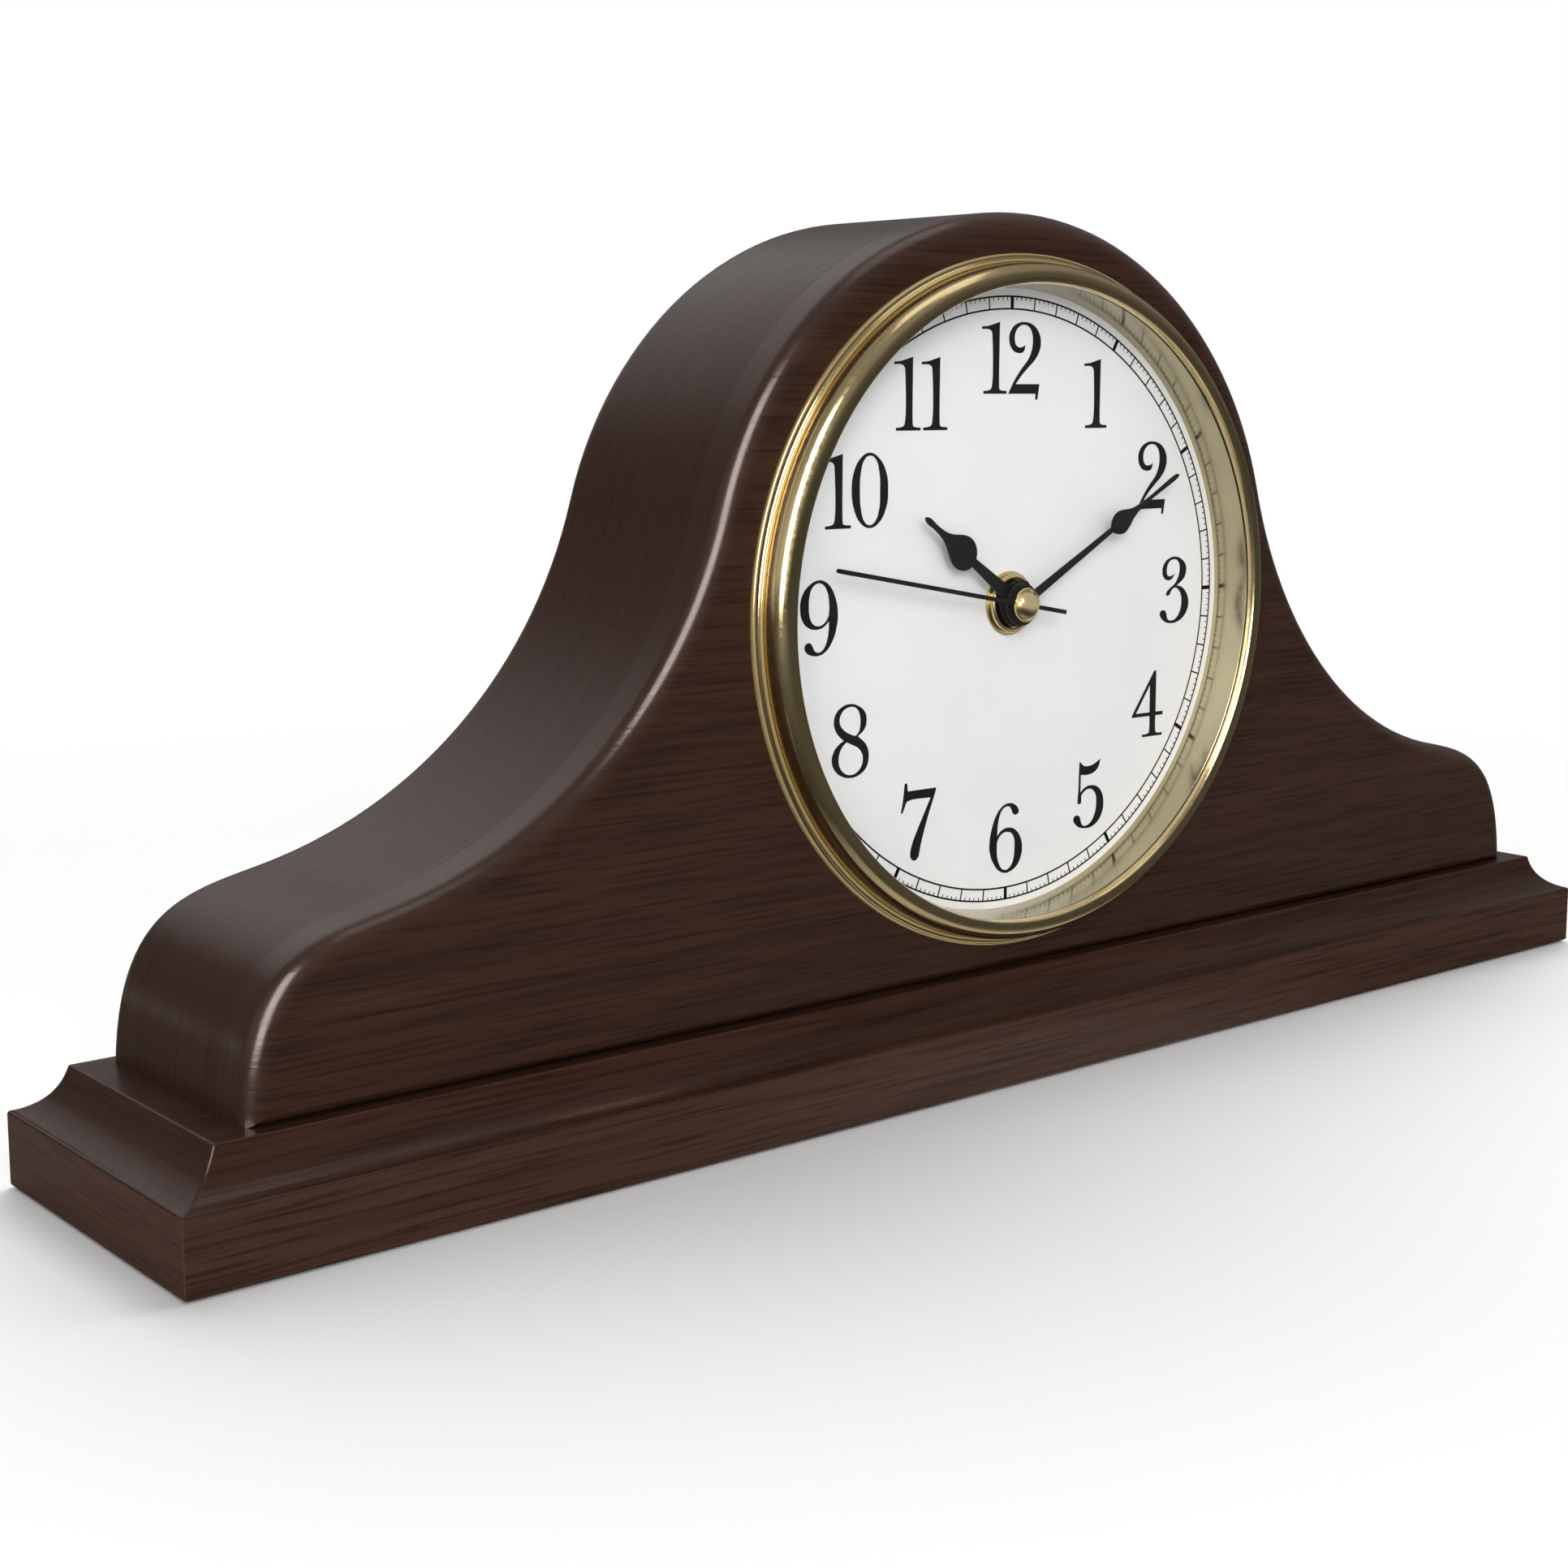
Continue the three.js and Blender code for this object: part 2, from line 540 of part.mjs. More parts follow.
function plinth() {
  const halfLength = PLINTH_LENGTH / 2;
  const halfDepth = PLINTH_DEPTH / 2;
  const bandTop = PLINTH_UNDERSIDE + PLINTH_BAND;
  const profile = (half, inset) => {
    const chord = Math.hypot(inset, COVE_RISE);
    const pull = (2 * COVE_SAG) / chord;
    const middleX = half - inset / 2 - pull * COVE_RISE;
    const middleZ = bandTop + COVE_RISE / 2 - pull * inset;
    const shape = new THREE.Shape();
    shape.moveTo(-half, PLINTH_UNDERSIDE);
    shape.lineTo(half, PLINTH_UNDERSIDE);
    shape.lineTo(half, bandTop);
    shape.quadraticCurveTo(middleX, middleZ, half - inset, DECK);
    shape.lineTo(-half + inset, DECK);
    shape.quadraticCurveTo(-middleX, middleZ, -half, bandTop);
    shape.closePath();
    return shape;
  };
  const lengthwise = plate(profile(halfLength, COVE_AT_ENDS), -halfDepth, halfDepth);
  const crosswise = plate(profile(halfDepth, COVE_AT_FRONT), -halfLength, halfLength);
  let body = lengthwise.intersect(crosswise.rotate([0, 0, 90]));
  for (const [, side] of SIDES) {
    for (const [, y] of BASE_SCREW_Y) {
      const counterbore = standing(rod(SCREW_HEAD_RADIUS + CLEARANCE, -OVERSHOOT, BASE_SCREW_SINK));
      const hole = standing(rod(SCREW_HOLE, -OVERSHOOT, DECK));
      body = cut(body, join(counterbore, hole).translate([side * BASE_SCREW_X, y, PLINTH_UNDERSIDE]));
    }
  }
  for (const [x, y] of padPlaces()) {
    const pocket = rod(PAD_RADIUS + CLEARANCE, -OVERSHOOT, PAD_POCKET_DEPTH, HAND_AXIS, ROUND_MEDIUM);
    body = cut(body, standing(pocket).translate([x, y, PLINTH_UNDERSIDE]));
  }
  return body;
}

function padPlaces() {
  const x = PLINTH_LENGTH / 2 - PAD_INSET;
  const y = PLINTH_DEPTH / 2 - PAD_INSET;
  return [[-x, -y], [x, -y], [-x, y], [x, y]];
}

function base() {
  const group = new THREE.Group();
  group.add(named('base_plinth', plinth(), WOOD));
  const pad = standing(rod(PAD_RADIUS, 0, PAD_THICKNESS, HAND_AXIS, ROUND_MEDIUM));
  padPlaces().forEach(([x, y], i) => {
    const mesh = named(`felt_pad_${i + 1}`, pad, FELT);
    mesh.position.set(x, y, 0);
    group.add(mesh);
  });
  const headSeat = PLINTH_UNDERSIDE + BASE_SCREW_SINK;
  const baseScrew = standing(screw(DECK - headSeat + SCREW_BITE));
  for (const [sideName, side] of SIDES) {
    for (const [rowName, y] of BASE_SCREW_Y) {
      const mesh = named(`base_screw_${sideName}_${rowName}`, baseScrew, STEEL);
      mesh.position.set(side * BASE_SCREW_X, y, headSeat);
      group.add(mesh);
    }
  }
  return group;
}

// Case: front board, hood, back panel, and the blocks and posts between them

function caseShell() {
  const group = new THREE.Group();
  const block = caseBlock();
  const frontHalf = box(-FAR, FAR, CASE_FRONT - FAR, BOARD_REAR, 0, FAR);
  const rearHalf = box(-FAR, FAR, BOARD_REAR, CASE_REAR + FAR, 0, FAR);
  const bore = rod(
    SLEEVE_RADIUS + CLEARANCE,
    CASE_FRONT - OVERSHOOT,
    BOARD_REAR + OVERSHOOT,
    HAND_AXIS,
    ROUND_LARGE,
  );
  const board = cut(block.intersect(frontHalf), bore.translate([0, 0, HANDS]));
  group.add(named('case_front_board', board, WOOD));
  const reliefRear = RETAINER_REAR + CLEARANCE;
  const relief = rod(RETAINER_RADIUS + CLEARANCE, BOARD_REAR - OVERSHOOT, reliefRear, HAND_AXIS, ROUND_LARGE);
  const hood = cut(
    block.intersect(rearHalf),
    plate(insetOutline(HOOD_WALL), BOARD_REAR - OVERSHOOT, CASE_REAR + OVERSHOOT),
    plate(insetOutline(BACK_REBATE), PANEL_FRONT, CASE_REAR + OVERSHOOT),
    relief.translate([0, 0, HANDS]),
  );
  group.add(named('case_hood', hood, WOOD));
  const opening = rod(
    BACK_OPENING_RADIUS,
    PANEL_FRONT - OVERSHOOT,
    PANEL_REAR + OVERSHOOT,
    HAND_AXIS,
    ROUND_LARGE,
  );
  let panel = aboveDeck(plate(insetOutline(BACK_REBATE + CLEARANCE), PANEL_FRONT, PANEL_REAR));
  panel = cut(panel, opening.translate([0, 0, HANDS]));
  const backScrew = screw(BACK_PANEL_THICKNESS + SCREW_BITE).rotate([0, 0, 180]);
  for (const [sideName, side] of SIDES) {
    const places = {
      upper: [side * POST_CENTRE.x, POST_CENTRE.y],
      lower: [side * BACK_SCREW_X, BLOCK_SCREW_Z],
    };
    const pilot = rod(SCREW_HOLE, PANEL_FRONT - SCREW_BITE - CLEARANCE, PANEL_REAR + OVERSHOOT);
    for (const [rowName, [x, z]] of Object.entries(places)) {
      panel = cut(panel, pilot.translate([x, 0, z]));
      const mesh = named(`back_screw_${sideName}_${rowName}`, backScrew, STEEL);
      mesh.position.set(x, PANEL_REAR, z);
      group.add(mesh);
    }
    const halfPost = POST_SIZE / 2;
    const post = cut(
      box(-halfPost, halfPost, BOARD_REAR, PANEL_FRONT, -halfPost, halfPost),
      pilot,
    );
    const postMesh = named(`back_post_${sideName}`, post, RAW_WOOD);
    postMesh.position.set(side * POST_CENTRE.x, 0, POST_CENTRE.y);
    group.add(postMesh);
    let corner = box(-BLOCK_WIDTH / 2, BLOCK_WIDTH / 2, BOARD_REAR, PANEL_FRONT, DECK, DECK + BLOCK_HEIGHT);
    corner = cut(corner, pilot.translate([-side * BLOCK_SCREW_OFFSET, 0, BLOCK_SCREW_Z]));
    for (const [, y] of BASE_SCREW_Y) {
      const hole = standing(rod(SCREW_HOLE, -OVERSHOOT, SCREW_BITE + CLEARANCE));
      corner = cut(corner, hole.translate([side * BLOCK_SCREW_OFFSET, y, DECK]));
    }
    const cornerMesh = named(`corner_block_${sideName}`, corner, RAW_WOOD);
    cornerMesh.position.x = side * BLOCK_X;
    group.add(cornerMesh);
  }
  group.add(named('back_panel', panel, BACK_BOARD));
  return group;
}

// Dial insert: bezel, lens, reflector ring, dial and the ring that clamps them to the front board

function bezelProfile() {
  const outside = (inward, forward) => [BEZEL_RADIUS - inward, CASE_FRONT - forward];
  const lip = (outward, back) => [BEZEL_LIP_RADIUS + outward, BEZEL_FRONT + back];
  const sleeveEnd = BOARD_REAR + SLEEVE_BEHIND_BOARD;
  const ledgeRadius = BEZEL_LIP_RADIUS - DIAL_LEDGE_WIDTH;
  const coveTop = lip(...BEZEL_COVE_TOP);
  const coveFoot = outside(...BEZEL_COVE_FOOT);
  const cove = new THREE.QuadraticBezierCurve(
    new THREE.Vector2(...coveFoot),
    new THREE.Vector2(coveTop[0] + BEZEL_COVE_PULL[0], coveFoot[1] - BEZEL_COVE_PULL[1]),
    new THREE.Vector2(...coveTop),
  ).getPoints(BEZEL_COVE_STEPS).map((point) => [point.x, point.y]);
  return [
    [BEZEL_LIP_RADIUS, DIAL_REAR],
    [ledgeRadius, DIAL_REAR],
    [ledgeRadius, DIAL_REAR + DIAL_LEDGE_THICKNESS],
    [BEZEL_LIP_RADIUS, DIAL_REAR + DIAL_LEDGE_THICKNESS],
    [BEZEL_LIP_RADIUS, sleeveEnd],
    [SLEEVE_RADIUS, sleeveEnd],
    [SLEEVE_RADIUS, CASE_FRONT],
    ...OUTER_BEADS.map(([inward, forward]) => outside(inward, forward)),
    ...cove,
    ...LIP_BEAD.map(([outward, back]) => lip(outward, back)),
    [BEZEL_LIP_RADIUS, DIAL_REAR],
  ];
}

function dialInsert() {
  const group = new THREE.Group();
  const fitted = BEZEL_LIP_RADIUS - CLEARANCE;
  const reflector = turned([
    [fitted - REFLECTOR_FOOT, DIAL_FRONT],
    [fitted, DIAL_FRONT],
    [fitted, LENS_REAR],
    [fitted - REFLECTOR_EDGE, LENS_REAR],
    [fitted - REFLECTOR_FOOT, DIAL_FRONT],
  ], ROUND_LARGE);
  const dial = tube(fitted, BUSH_RADIUS + CLEARANCE, DIAL_FRONT, DIAL_REAR, HAND_AXIS, ROUND_LARGE);
  const retainer = tube(RETAINER_RADIUS, RETAINER_BORE, BOARD_REAR, RETAINER_REAR, HAND_AXIS, ROUND_LARGE);
  group.add(
    named('bezel_ring', turned(bezelProfile(), ROUND_LARGE), GOLD),
    named('lens_glass', rod(fitted, LENS_FRONT, LENS_REAR, HAND_AXIS, ROUND_LARGE), GLASS),
    named('reflector_ring', reflector, GOLD),
    named('dial_plate', dial, WHITE_ENAMEL),
    named('bezel_retaining_ring', retainer, BLACK_PLASTIC),
  );
  group.position.z = HANDS;
  return group;
}

// Hands, drawn pointing up from the hand axis

// A closed outline from points of [distance along the hand, half width], mirrored about its middle.
function handShape(stations, roundEnd) {
  const right = stations.map(([along, half]) => new THREE.Vector2(half, along));
  const left = stations.map(([along, half]) => new THREE.Vector2(-half, along)).reverse();
  const length = stations.at(-1)[0];
  const tip = TIP_ANGLES.map((degrees) => polar(roundEnd, degrees).add(new THREE.Vector2(0, length)));
  return new THREE.Shape([...right, ...tip, ...left]);
}

// Spade hand: a tapering stem, a heart-shaped blade and a slim tip.
function spadeShape(length, stem, blade, tip) {
  const stations = [
    [0, stem.root],
    [blade.start, stem.end],
    [blade.start + BLADE_STEP, stem.end * BLADE_STEP_WIDENING],
    ...SPADE_PROFILE.map(([along, width]) => [blade.start + along * blade.length, width * blade.halfWidth]),
    [length - tip, tip],
  ];
  return handShape(stations, tip);
}

function hubbedHand(shape, hubRear, bore) {
  const bladeRear = hubRear - HUB_HEIGHT;
  const blade = plate(shape, bladeRear - HAND_THICKNESS, bladeRear);
  const disc = rod(HUB_RADIUS, bladeRear - HAND_THICKNESS, hubRear, HAND_AXIS, ROUND_MEDIUM);
  const hole = rod(bore, bladeRear - HAND_THICKNESS - OVERSHOOT, hubRear + OVERSHOOT);
  return cut(join(blade, disc), hole);
}

function hands() {
  const group = new THREE.Group();
  const hourShape = spadeShape(
    HOUR_HAND_LENGTH,
    { root: HOUR_STEM_ROOT, end: HOUR_STEM_END },
    { start: HOUR_BLADE_START, length: HOUR_BLADE_LENGTH, halfWidth: HOUR_BLADE_HALF_WIDTH },
    HOUR_TIP,
  );
  const minuteShape = spadeShape(
    MINUTE_HAND_LENGTH,
    { root: MINUTE_STEM_ROOT, end: MINUTE_STEM_END },
    { start: MINUTE_BLADE_START, length: MINUTE_BLADE_LENGTH, halfWidth: MINUTE_BLADE_HALF_WIDTH },
    MINUTE_TIP,
  );
  const hour = hubbedHand(hourShape, HOUR_HUB_REAR, HOUR_TUBE_RADIUS + TUBE_CLEARANCE);
  const minute = hubbedHand(minuteShape, MINUTE_HUB_REAR, MINUTE_TUBE_RADIUS + TUBE_CLEARANCE);
  const halfWidth = SECOND_HAND_WIDTH / 2;
  const stick = new THREE.Shape([
    new THREE.Vector2(-halfWidth, -SECOND_TAIL_LENGTH),
    new THREE.Vector2(halfWidth, -SECOND_TAIL_LENGTH),
    new THREE.Vector2(halfWidth * SECOND_TIP_SHARE, SECOND_HAND_LENGTH),
    new THREE.Vector2(-halfWidth * SECOND_TIP_SHARE, SECOND_HAND_LENGTH),
  ]);
  const second = cut(
    join(
      plate(stick, SECOND_HAND_FRONT, SECOND_HAND_REAR),
      rod(SECOND_HUB_RADIUS, SECOND_HAND_FRONT, SECOND_HAND_REAR),
    ),
    rod(SECOND_ARBOR_RADIUS + TUBE_CLEARANCE, SECOND_HAND_FRONT - OVERSHOOT, SECOND_HAND_REAR + OVERSHOOT),
  );
  const capSide = SECOND_HAND_FRONT - CAP_SIDE;
  const dome = CAP_DOME_SHARES.map((share) => [
    CAP_RADIUS * Math.sqrt(1 - share ** 2),
    capSide - CAP_DOME * share,
  ]);
  const cap = turned([
    [0, SECOND_HAND_FRONT],
    [CAP_RADIUS, SECOND_HAND_FRONT],
    [CAP_RADIUS, capSide],
    ...dome,
    [0, capSide - CAP_DOME],
  ], ROUND_MEDIUM);
  const placed = [
    [named('hour_hand', hour, BLACK_ENAMEL), HOUR_HAND_ANGLE],
    [named('minute_hand', minute, BLACK_ENAMEL), MINUTE_HAND_ANGLE],
    [named('second_hand', second, BLACK_ENAMEL), SECOND_HAND_ANGLE],
    [named('hand_cap', cap, GOLD), SECOND_HAND_ANGLE],
  ];
  for (const [mesh, angle] of placed) {
    mesh.rotation.y = THREE.MathUtils.degToRad(angle);
    group.add(mesh);
  }
  group.position.z = HANDS;
  return group;
}

// What clamps the movement to the dial

function dialFixing() {
  const group = new THREE.Group();
  const bore = BUSH_RADIUS + CLEARANCE;
  const bushBore = HOUR_TUBE_RADIUS + TUBE_CLEARANCE;
  const bushFront = NUT_FRONT + CLEARANCE;
  const flangeRear = SHELL_INSIDE_FRONT + BUSH_FLANGE_THICKNESS;
  const bush = join(
    tube(BUSH_RADIUS, bushBore, bushFront, flangeRear),
    tube(BUSH_FLANGE_RADIUS, bushBore, SHELL_INSIDE_FRONT, flangeRear),
  );
  const nut = turned([
    [bore, NUT_REAR],
    [NUT_RADIUS, NUT_REAR],
    [NUT_RADIUS, NUT_REAR - NUT_RIM],
    [NUT_RADIUS - NUT_CHAMFER, NUT_FRONT],
    [bore, NUT_FRONT],
    [bore, NUT_REAR],
  ], ROUND_MEDIUM);
  group.add(
    named('dial_washer', tube(WASHER_RADIUS, bore, NUT_REAR, DIAL_FRONT, HAND_AXIS, ROUND_MEDIUM), GOLD),
    named('dial_nut', nut, GOLD),
    named('rubber_washer', tube(RUBBER_RADIUS, bore, DIAL_REAR, SHELL_FRONT), RUBBER),
    named('movement_bush', bush, BRASS),
  );
  group.position.z = HANDS;
  return group;
}

// Wheels: fine pointed teeth with open backlash

const rootRadius = (teeth, module) => module * (teeth / 2 - TOOTH_DEDENDUM);
const tipRadius = (teeth, module) => module * (teeth / 2 + TOOTH_ADDENDUM);

function toothedShape(teeth, module, phase, axis) {
  const root = rootRadius(teeth, module);
  const tip = tipRadius(teeth, module);
  const pitchAngle = (2 * Math.PI) / teeth;
  const corners = [[root, -TOOTH_ROOT_SHARE / 2], [tip, 0], [root, TOOTH_ROOT_SHARE / 2]];
  const points = [];
  for (let i = 0; i < teeth; i += 1) {
    for (const [radius, share] of corners) {
      const angle = phase + (i + share) * pitchAngle;
      points.push(new THREE.Vector2(axis.x + radius * Math.cos(angle), axis.y + radius * Math.sin(angle)));
    }
  }
  return new THREE.Shape(points);
}

function wheel(teeth, module, phase, axis, front) {
  return plate(toothedShape(teeth, module, phase, axis), front, front + WHEEL_THICKNESS);
}

// The phase that puts a follower's gap where its driver, drawn at its own phase, has a tooth.
function meshPhase(driverTeeth, driverAxis, followerTeeth, followerAxis, driverPhase = 0) {
  const line = followerAxis.clone().sub(driverAxis).angle();
  const toothAtLine = ((line - driverPhase) * driverTeeth) / (2 * Math.PI);
  return line + Math.PI - ((0.5 - toothAtLine) * 2 * Math.PI) / followerTeeth;
}

const PIVOT_REACH = WHEEL_GAP + PIVOT_DEPTH;
const wheelRear = (plane) => plane + WHEEL_THICKNESS;

function coaxialWheels() {
  const hourTubeBore = MINUTE_TUBE_RADIUS + TUBE_CLEARANCE;
  const minuteTubeBore = SECOND_ARBOR_RADIUS + TUBE_CLEARANCE;
  const hourPhase = meshPhase(MINUTE_PINION_TEETH, MINUTE_WHEEL_AXIS, HOUR_WHEEL_TEETH, HAND_AXIS);
  const hourTubeFront = HOUR_HAND_FRONT + TUBE_SHORT_OF_FACE;
  const hourWheel = cut(
    join(
      wheel(HOUR_WHEEL_TEETH, HOUR_MODULE, hourPhase, HAND_AXIS, HOUR_PLANE),
      rod(HOUR_TUBE_RADIUS, hourTubeFront, wheelRear(HOUR_PLANE)),
    ),
    rod(hourTubeBore, hourTubeFront - OVERSHOOT, wheelRear(HOUR_PLANE) + OVERSHOOT),
  );
  const minuteTubeFront = MINUTE_HAND_FRONT + TUBE_SHORT_OF_FACE;
  const centreWheel = cut(
    join(
      wheel(CENTRE_WHEEL_TEETH, CENTRE_MODULE, 0, HAND_AXIS, CENTRE_PLANE),
      wheel(CANNON_PINION_TEETH, MODULE, 0, HAND_AXIS, CANNON_PLANE),
      rod(MINUTE_TUBE_RADIUS, minuteTubeFront, wheelRear(CENTRE_PLANE)),
    ),
    rod(minuteTubeBore, minuteTubeFront - OVERSHOOT, wheelRear(CENTRE_PLANE) + OVERSHOOT),
  );
  const pinionPhase = meshPhase(THIRD_WHEEL_TEETH, THIRD_AXIS, SECOND_PINION_TEETH, HAND_AXIS);
  const arborFront = SECOND_HAND_FRONT + TUBE_SHORT_OF_FACE;
  const secondWheel = join(
    wheel(SECOND_WHEEL_TEETH, MODULE, 0, HAND_AXIS, SECOND_PLANE),
    wheel(SECOND_PINION_TEETH, THIRD_MODULE, pinionPhase, HAND_AXIS, THIRD_PLANE),
    rod(SECOND_ARBOR_RADIUS, arborFront, wheelRear(SECOND_PLANE) + PIVOT_REACH),
  );
  return [
    named('hour_wheel', hourWheel, BRASS),
    named('centre_wheel', centreWheel, BRASS),
    named('second_wheel', secondWheel, BRASS),
  ];
}

function sideWheels() {
  const thirdPhase = meshPhase(CENTRE_WHEEL_TEETH, HAND_AXIS, THIRD_PINION_TEETH, THIRD_AXIS);
  const third = join(
    wheel(THIRD_PINION_TEETH, CENTRE_MODULE, thirdPhase, THIRD_AXIS, CENTRE_PLANE),
    wheel(THIRD_WHEEL_TEETH, THIRD_MODULE, 0, THIRD_AXIS, THIRD_PLANE),
    rod(PIVOT_RADIUS, CENTRE_PLANE - PIVOT_REACH, wheelRear(THIRD_PLANE) + PIVOT_REACH, THIRD_AXIS),
  );
  const pinBore = PIN_RADIUS + TUBE_CLEARANCE;
  const coupled = meshPhase(SECOND_WHEEL_TEETH, HAND_AXIS, INTERMEDIATE_PINION_TEETH, INTERMEDIATE_AXIS);
  const intermediateHub = rootRadius(INTERMEDIATE_PINION_TEETH, MODULE);
  const intermediate = cut(
    join(
      wheel(INTERMEDIATE_PINION_TEETH, MODULE, coupled, INTERMEDIATE_AXIS, SECOND_PLANE),
      rod(intermediateHub, SECOND_PLANE, wheelRear(ROTOR_PLANE), INTERMEDIATE_AXIS),
      wheel(INTERMEDIATE_WHEEL_TEETH, MODULE, 0, INTERMEDIATE_AXIS, ROTOR_PLANE),
    ),
    rod(pinBore, SECOND_PLANE - OVERSHOOT, wheelRear(ROTOR_PLANE) + OVERSHOOT, INTERMEDIATE_AXIS),
  );
  const rotorPhase = meshPhase(INTERMEDIATE_WHEEL_TEETH, INTERMEDIATE_AXIS, ROTOR_PINION_TEETH, ROTOR_AXIS);
  const rotorHub = rootRadius(ROTOR_PINION_TEETH, MODULE);
  const magnetRear = MAGNET_FRONT + MAGNET_LENGTH;
  const rotor = cut(
    join(
      wheel(ROTOR_PINION_TEETH, MODULE, rotorPhase, ROTOR_AXIS, ROTOR_PLANE),
      rod(rotorHub, ROTOR_PLANE, magnetRear, ROTOR_AXIS),
      rod(MAGNET_RADIUS, MAGNET_FRONT, magnetRear, ROTOR_AXIS),
    ),
    rod(pinBore, ROTOR_PLANE - OVERSHOOT, magnetRear + OVERSHOOT, ROTOR_AXIS),
  );
  const minutePhase = meshPhase(CANNON_PINION_TEETH, HAND_AXIS, MINUTE_WHEEL_TEETH, MINUTE_WHEEL_AXIS);
  const minuteHub = rootRadius(MINUTE_PINION_TEETH, HOUR_MODULE);
  const minuteWheel = cut(
    join(
      wheel(MINUTE_WHEEL_TEETH, MODULE, minutePhase, MINUTE_WHEEL_AXIS, CANNON_PLANE),
      rod(minuteHub, HOUR_PLANE, wheelRear(CANNON_PLANE), MINUTE_WHEEL_AXIS),
      wheel(MINUTE_PINION_TEETH, HOUR_MODULE, 0, MINUTE_WHEEL_AXIS, HOUR_PLANE),
    ),
    rod(pinBore, HOUR_PLANE - OVERSHOOT, wheelRear(CANNON_PLANE) + OVERSHOOT, MINUTE_WHEEL_AXIS),
  );
  return [
    named('third_wheel', third, BRASS),
    named('intermediate_wheel', intermediate, WHITE_PLASTIC),
    named('rotor', rotor, BLACK_PLASTIC),
    named('minute_wheel', minuteWheel, WHITE_PLASTIC),
  ];
}

function settingKnob() {
  const minutePhase = meshPhase(CANNON_PINION_TEETH, HAND_AXIS, MINUTE_WHEEL_TEETH, MINUTE_WHEEL_AXIS);
  const phase = meshPhase(
    MINUTE_WHEEL_TEETH,
    MINUTE_WHEEL_AXIS,
    SETTING_PINION_TEETH,
    SETTING_AXIS,
    minutePhase,
  );
  const knobFront = SHELL_REAR + KNOB_STANDOFF;
  const knobRear = knobFront + KNOB_THICKNESS;
  const ribs = new THREE.Shape();
  for (let i = 0; i < 2 * KNOB_RIBS; i += 1) {
    const radius = KNOB_RADIUS - (i % 2) * KNOB_RIB_DEPTH;
    const point = polar(radius, (i * 180) / KNOB_RIBS).add(SETTING_AXIS);
    if (i === 0) ribs.moveTo(point.x, point.y);
    else ribs.lineTo(point.x, point.y);
  }
  ribs.closePath();
  const body = join(
    rod(PIVOT_RADIUS, SHELL_INSIDE_FRONT + CLEARANCE, CANNON_PLANE, SETTING_AXIS),
    wheel(SETTING_PINION_TEETH, MODULE, phase, SETTING_AXIS, CANNON_PLANE),
    rod(STEM_RADIUS, CANNON_PLANE, knobFront, SETTING_AXIS),
    plate(ribs, knobFront, knobRear),
  );
  return named('setting_knob', body, BLACK_PLASTIC);
}

// Movement shells: the front one carries the bush, the rear one the motor, the circuit and the cell

const CELL_Y = SHELL_INSIDE_FRONT + CLEARANCE + CELL_RADIUS;
const CELL_Z = -SHELL_INSIDE + CLEARANCE + CELL_RADIUS;
const BAY_TOP = CELL_Z + CELL_RADIUS + CLEARANCE;
const COIL_LEFT = SETTING_AXIS.x - STEM_RADIUS - MOTOR_CLEARANCE - STATOR_ARM;
const COIL_RIGHT = SHELL_INSIDE - MOTOR_CLEARANCE;
const COIL_Z = SETTING_AXIS.y + STEM_RADIUS + MOTOR_CLEARANCE + BOBBIN_FLANGE;
const BOARD_LEFT = -SHELL_INSIDE + CLEARANCE;
const BOARD_BOTTOM = BAY_TOP + BAY_RIB + CLEARANCE;
const BOARD_PANEL_REAR = SHELL_INSIDE_REAR - BOARD_STANDOFF;

// A post from its root to its end, with a blind bore for a pivot in the end.
function pivotPost(axis, root, end) {
  const toRear = Math.sign(end - root);
  const bore = end - toRear * (PIVOT_DEPTH + CLEARANCE);
  const past = end + toRear * OVERSHOOT;
  const post = rod(PIVOT_POST_RADIUS, Math.min(root, end), Math.max(root, end), axis);
  return cut(post, rod(PIVOT_RADIUS + TUBE_CLEARANCE, Math.min(bore, past), Math.max(bore, past), axis));
}

function shellHalf(half, corner, y0, y1) {
  return plate(roundedSquare(half, corner), y0, y1, { curveSegments: CORNER_STEPS });
}

function frontShell() {
  const outer = shellHalf(SHELL_SIZE / 2, SHELL_CORNER, SHELL_FRONT, SHELL_SEAM);
  const hollow = shellHalf(SHELL_INSIDE, INSIDE_CORNER, SHELL_INSIDE_FRONT, SHELL_SEAM + OVERSHOOT);
  const footing = SHELL_INSIDE_FRONT - EMBED;
  const bushHole = rod(BUSH_RADIUS + CLEARANCE, SHELL_FRONT - OVERSHOOT, SHELL_INSIDE_FRONT + OVERSHOOT);
  const body = join(
    cut(outer, hollow, bushHole),
    pivotPost(THIRD_AXIS, footing, CENTRE_PLANE - CLEARANCE),
    rod(PIN_RADIUS, footing, wheelRear(CANNON_PLANE), MINUTE_WHEEL_AXIS),
    cut(
      rod(PIVOT_POST_RADIUS, footing, CANNON_PLANE - CLEARANCE, SETTING_AXIS),
      rod(PIVOT_RADIUS + TUBE_CLEARANCE, SHELL_INSIDE_FRONT, CANNON_PLANE, SETTING_AXIS),
    ),
  );
  return named('movement_front_shell', body, WHITE_PLASTIC);
}

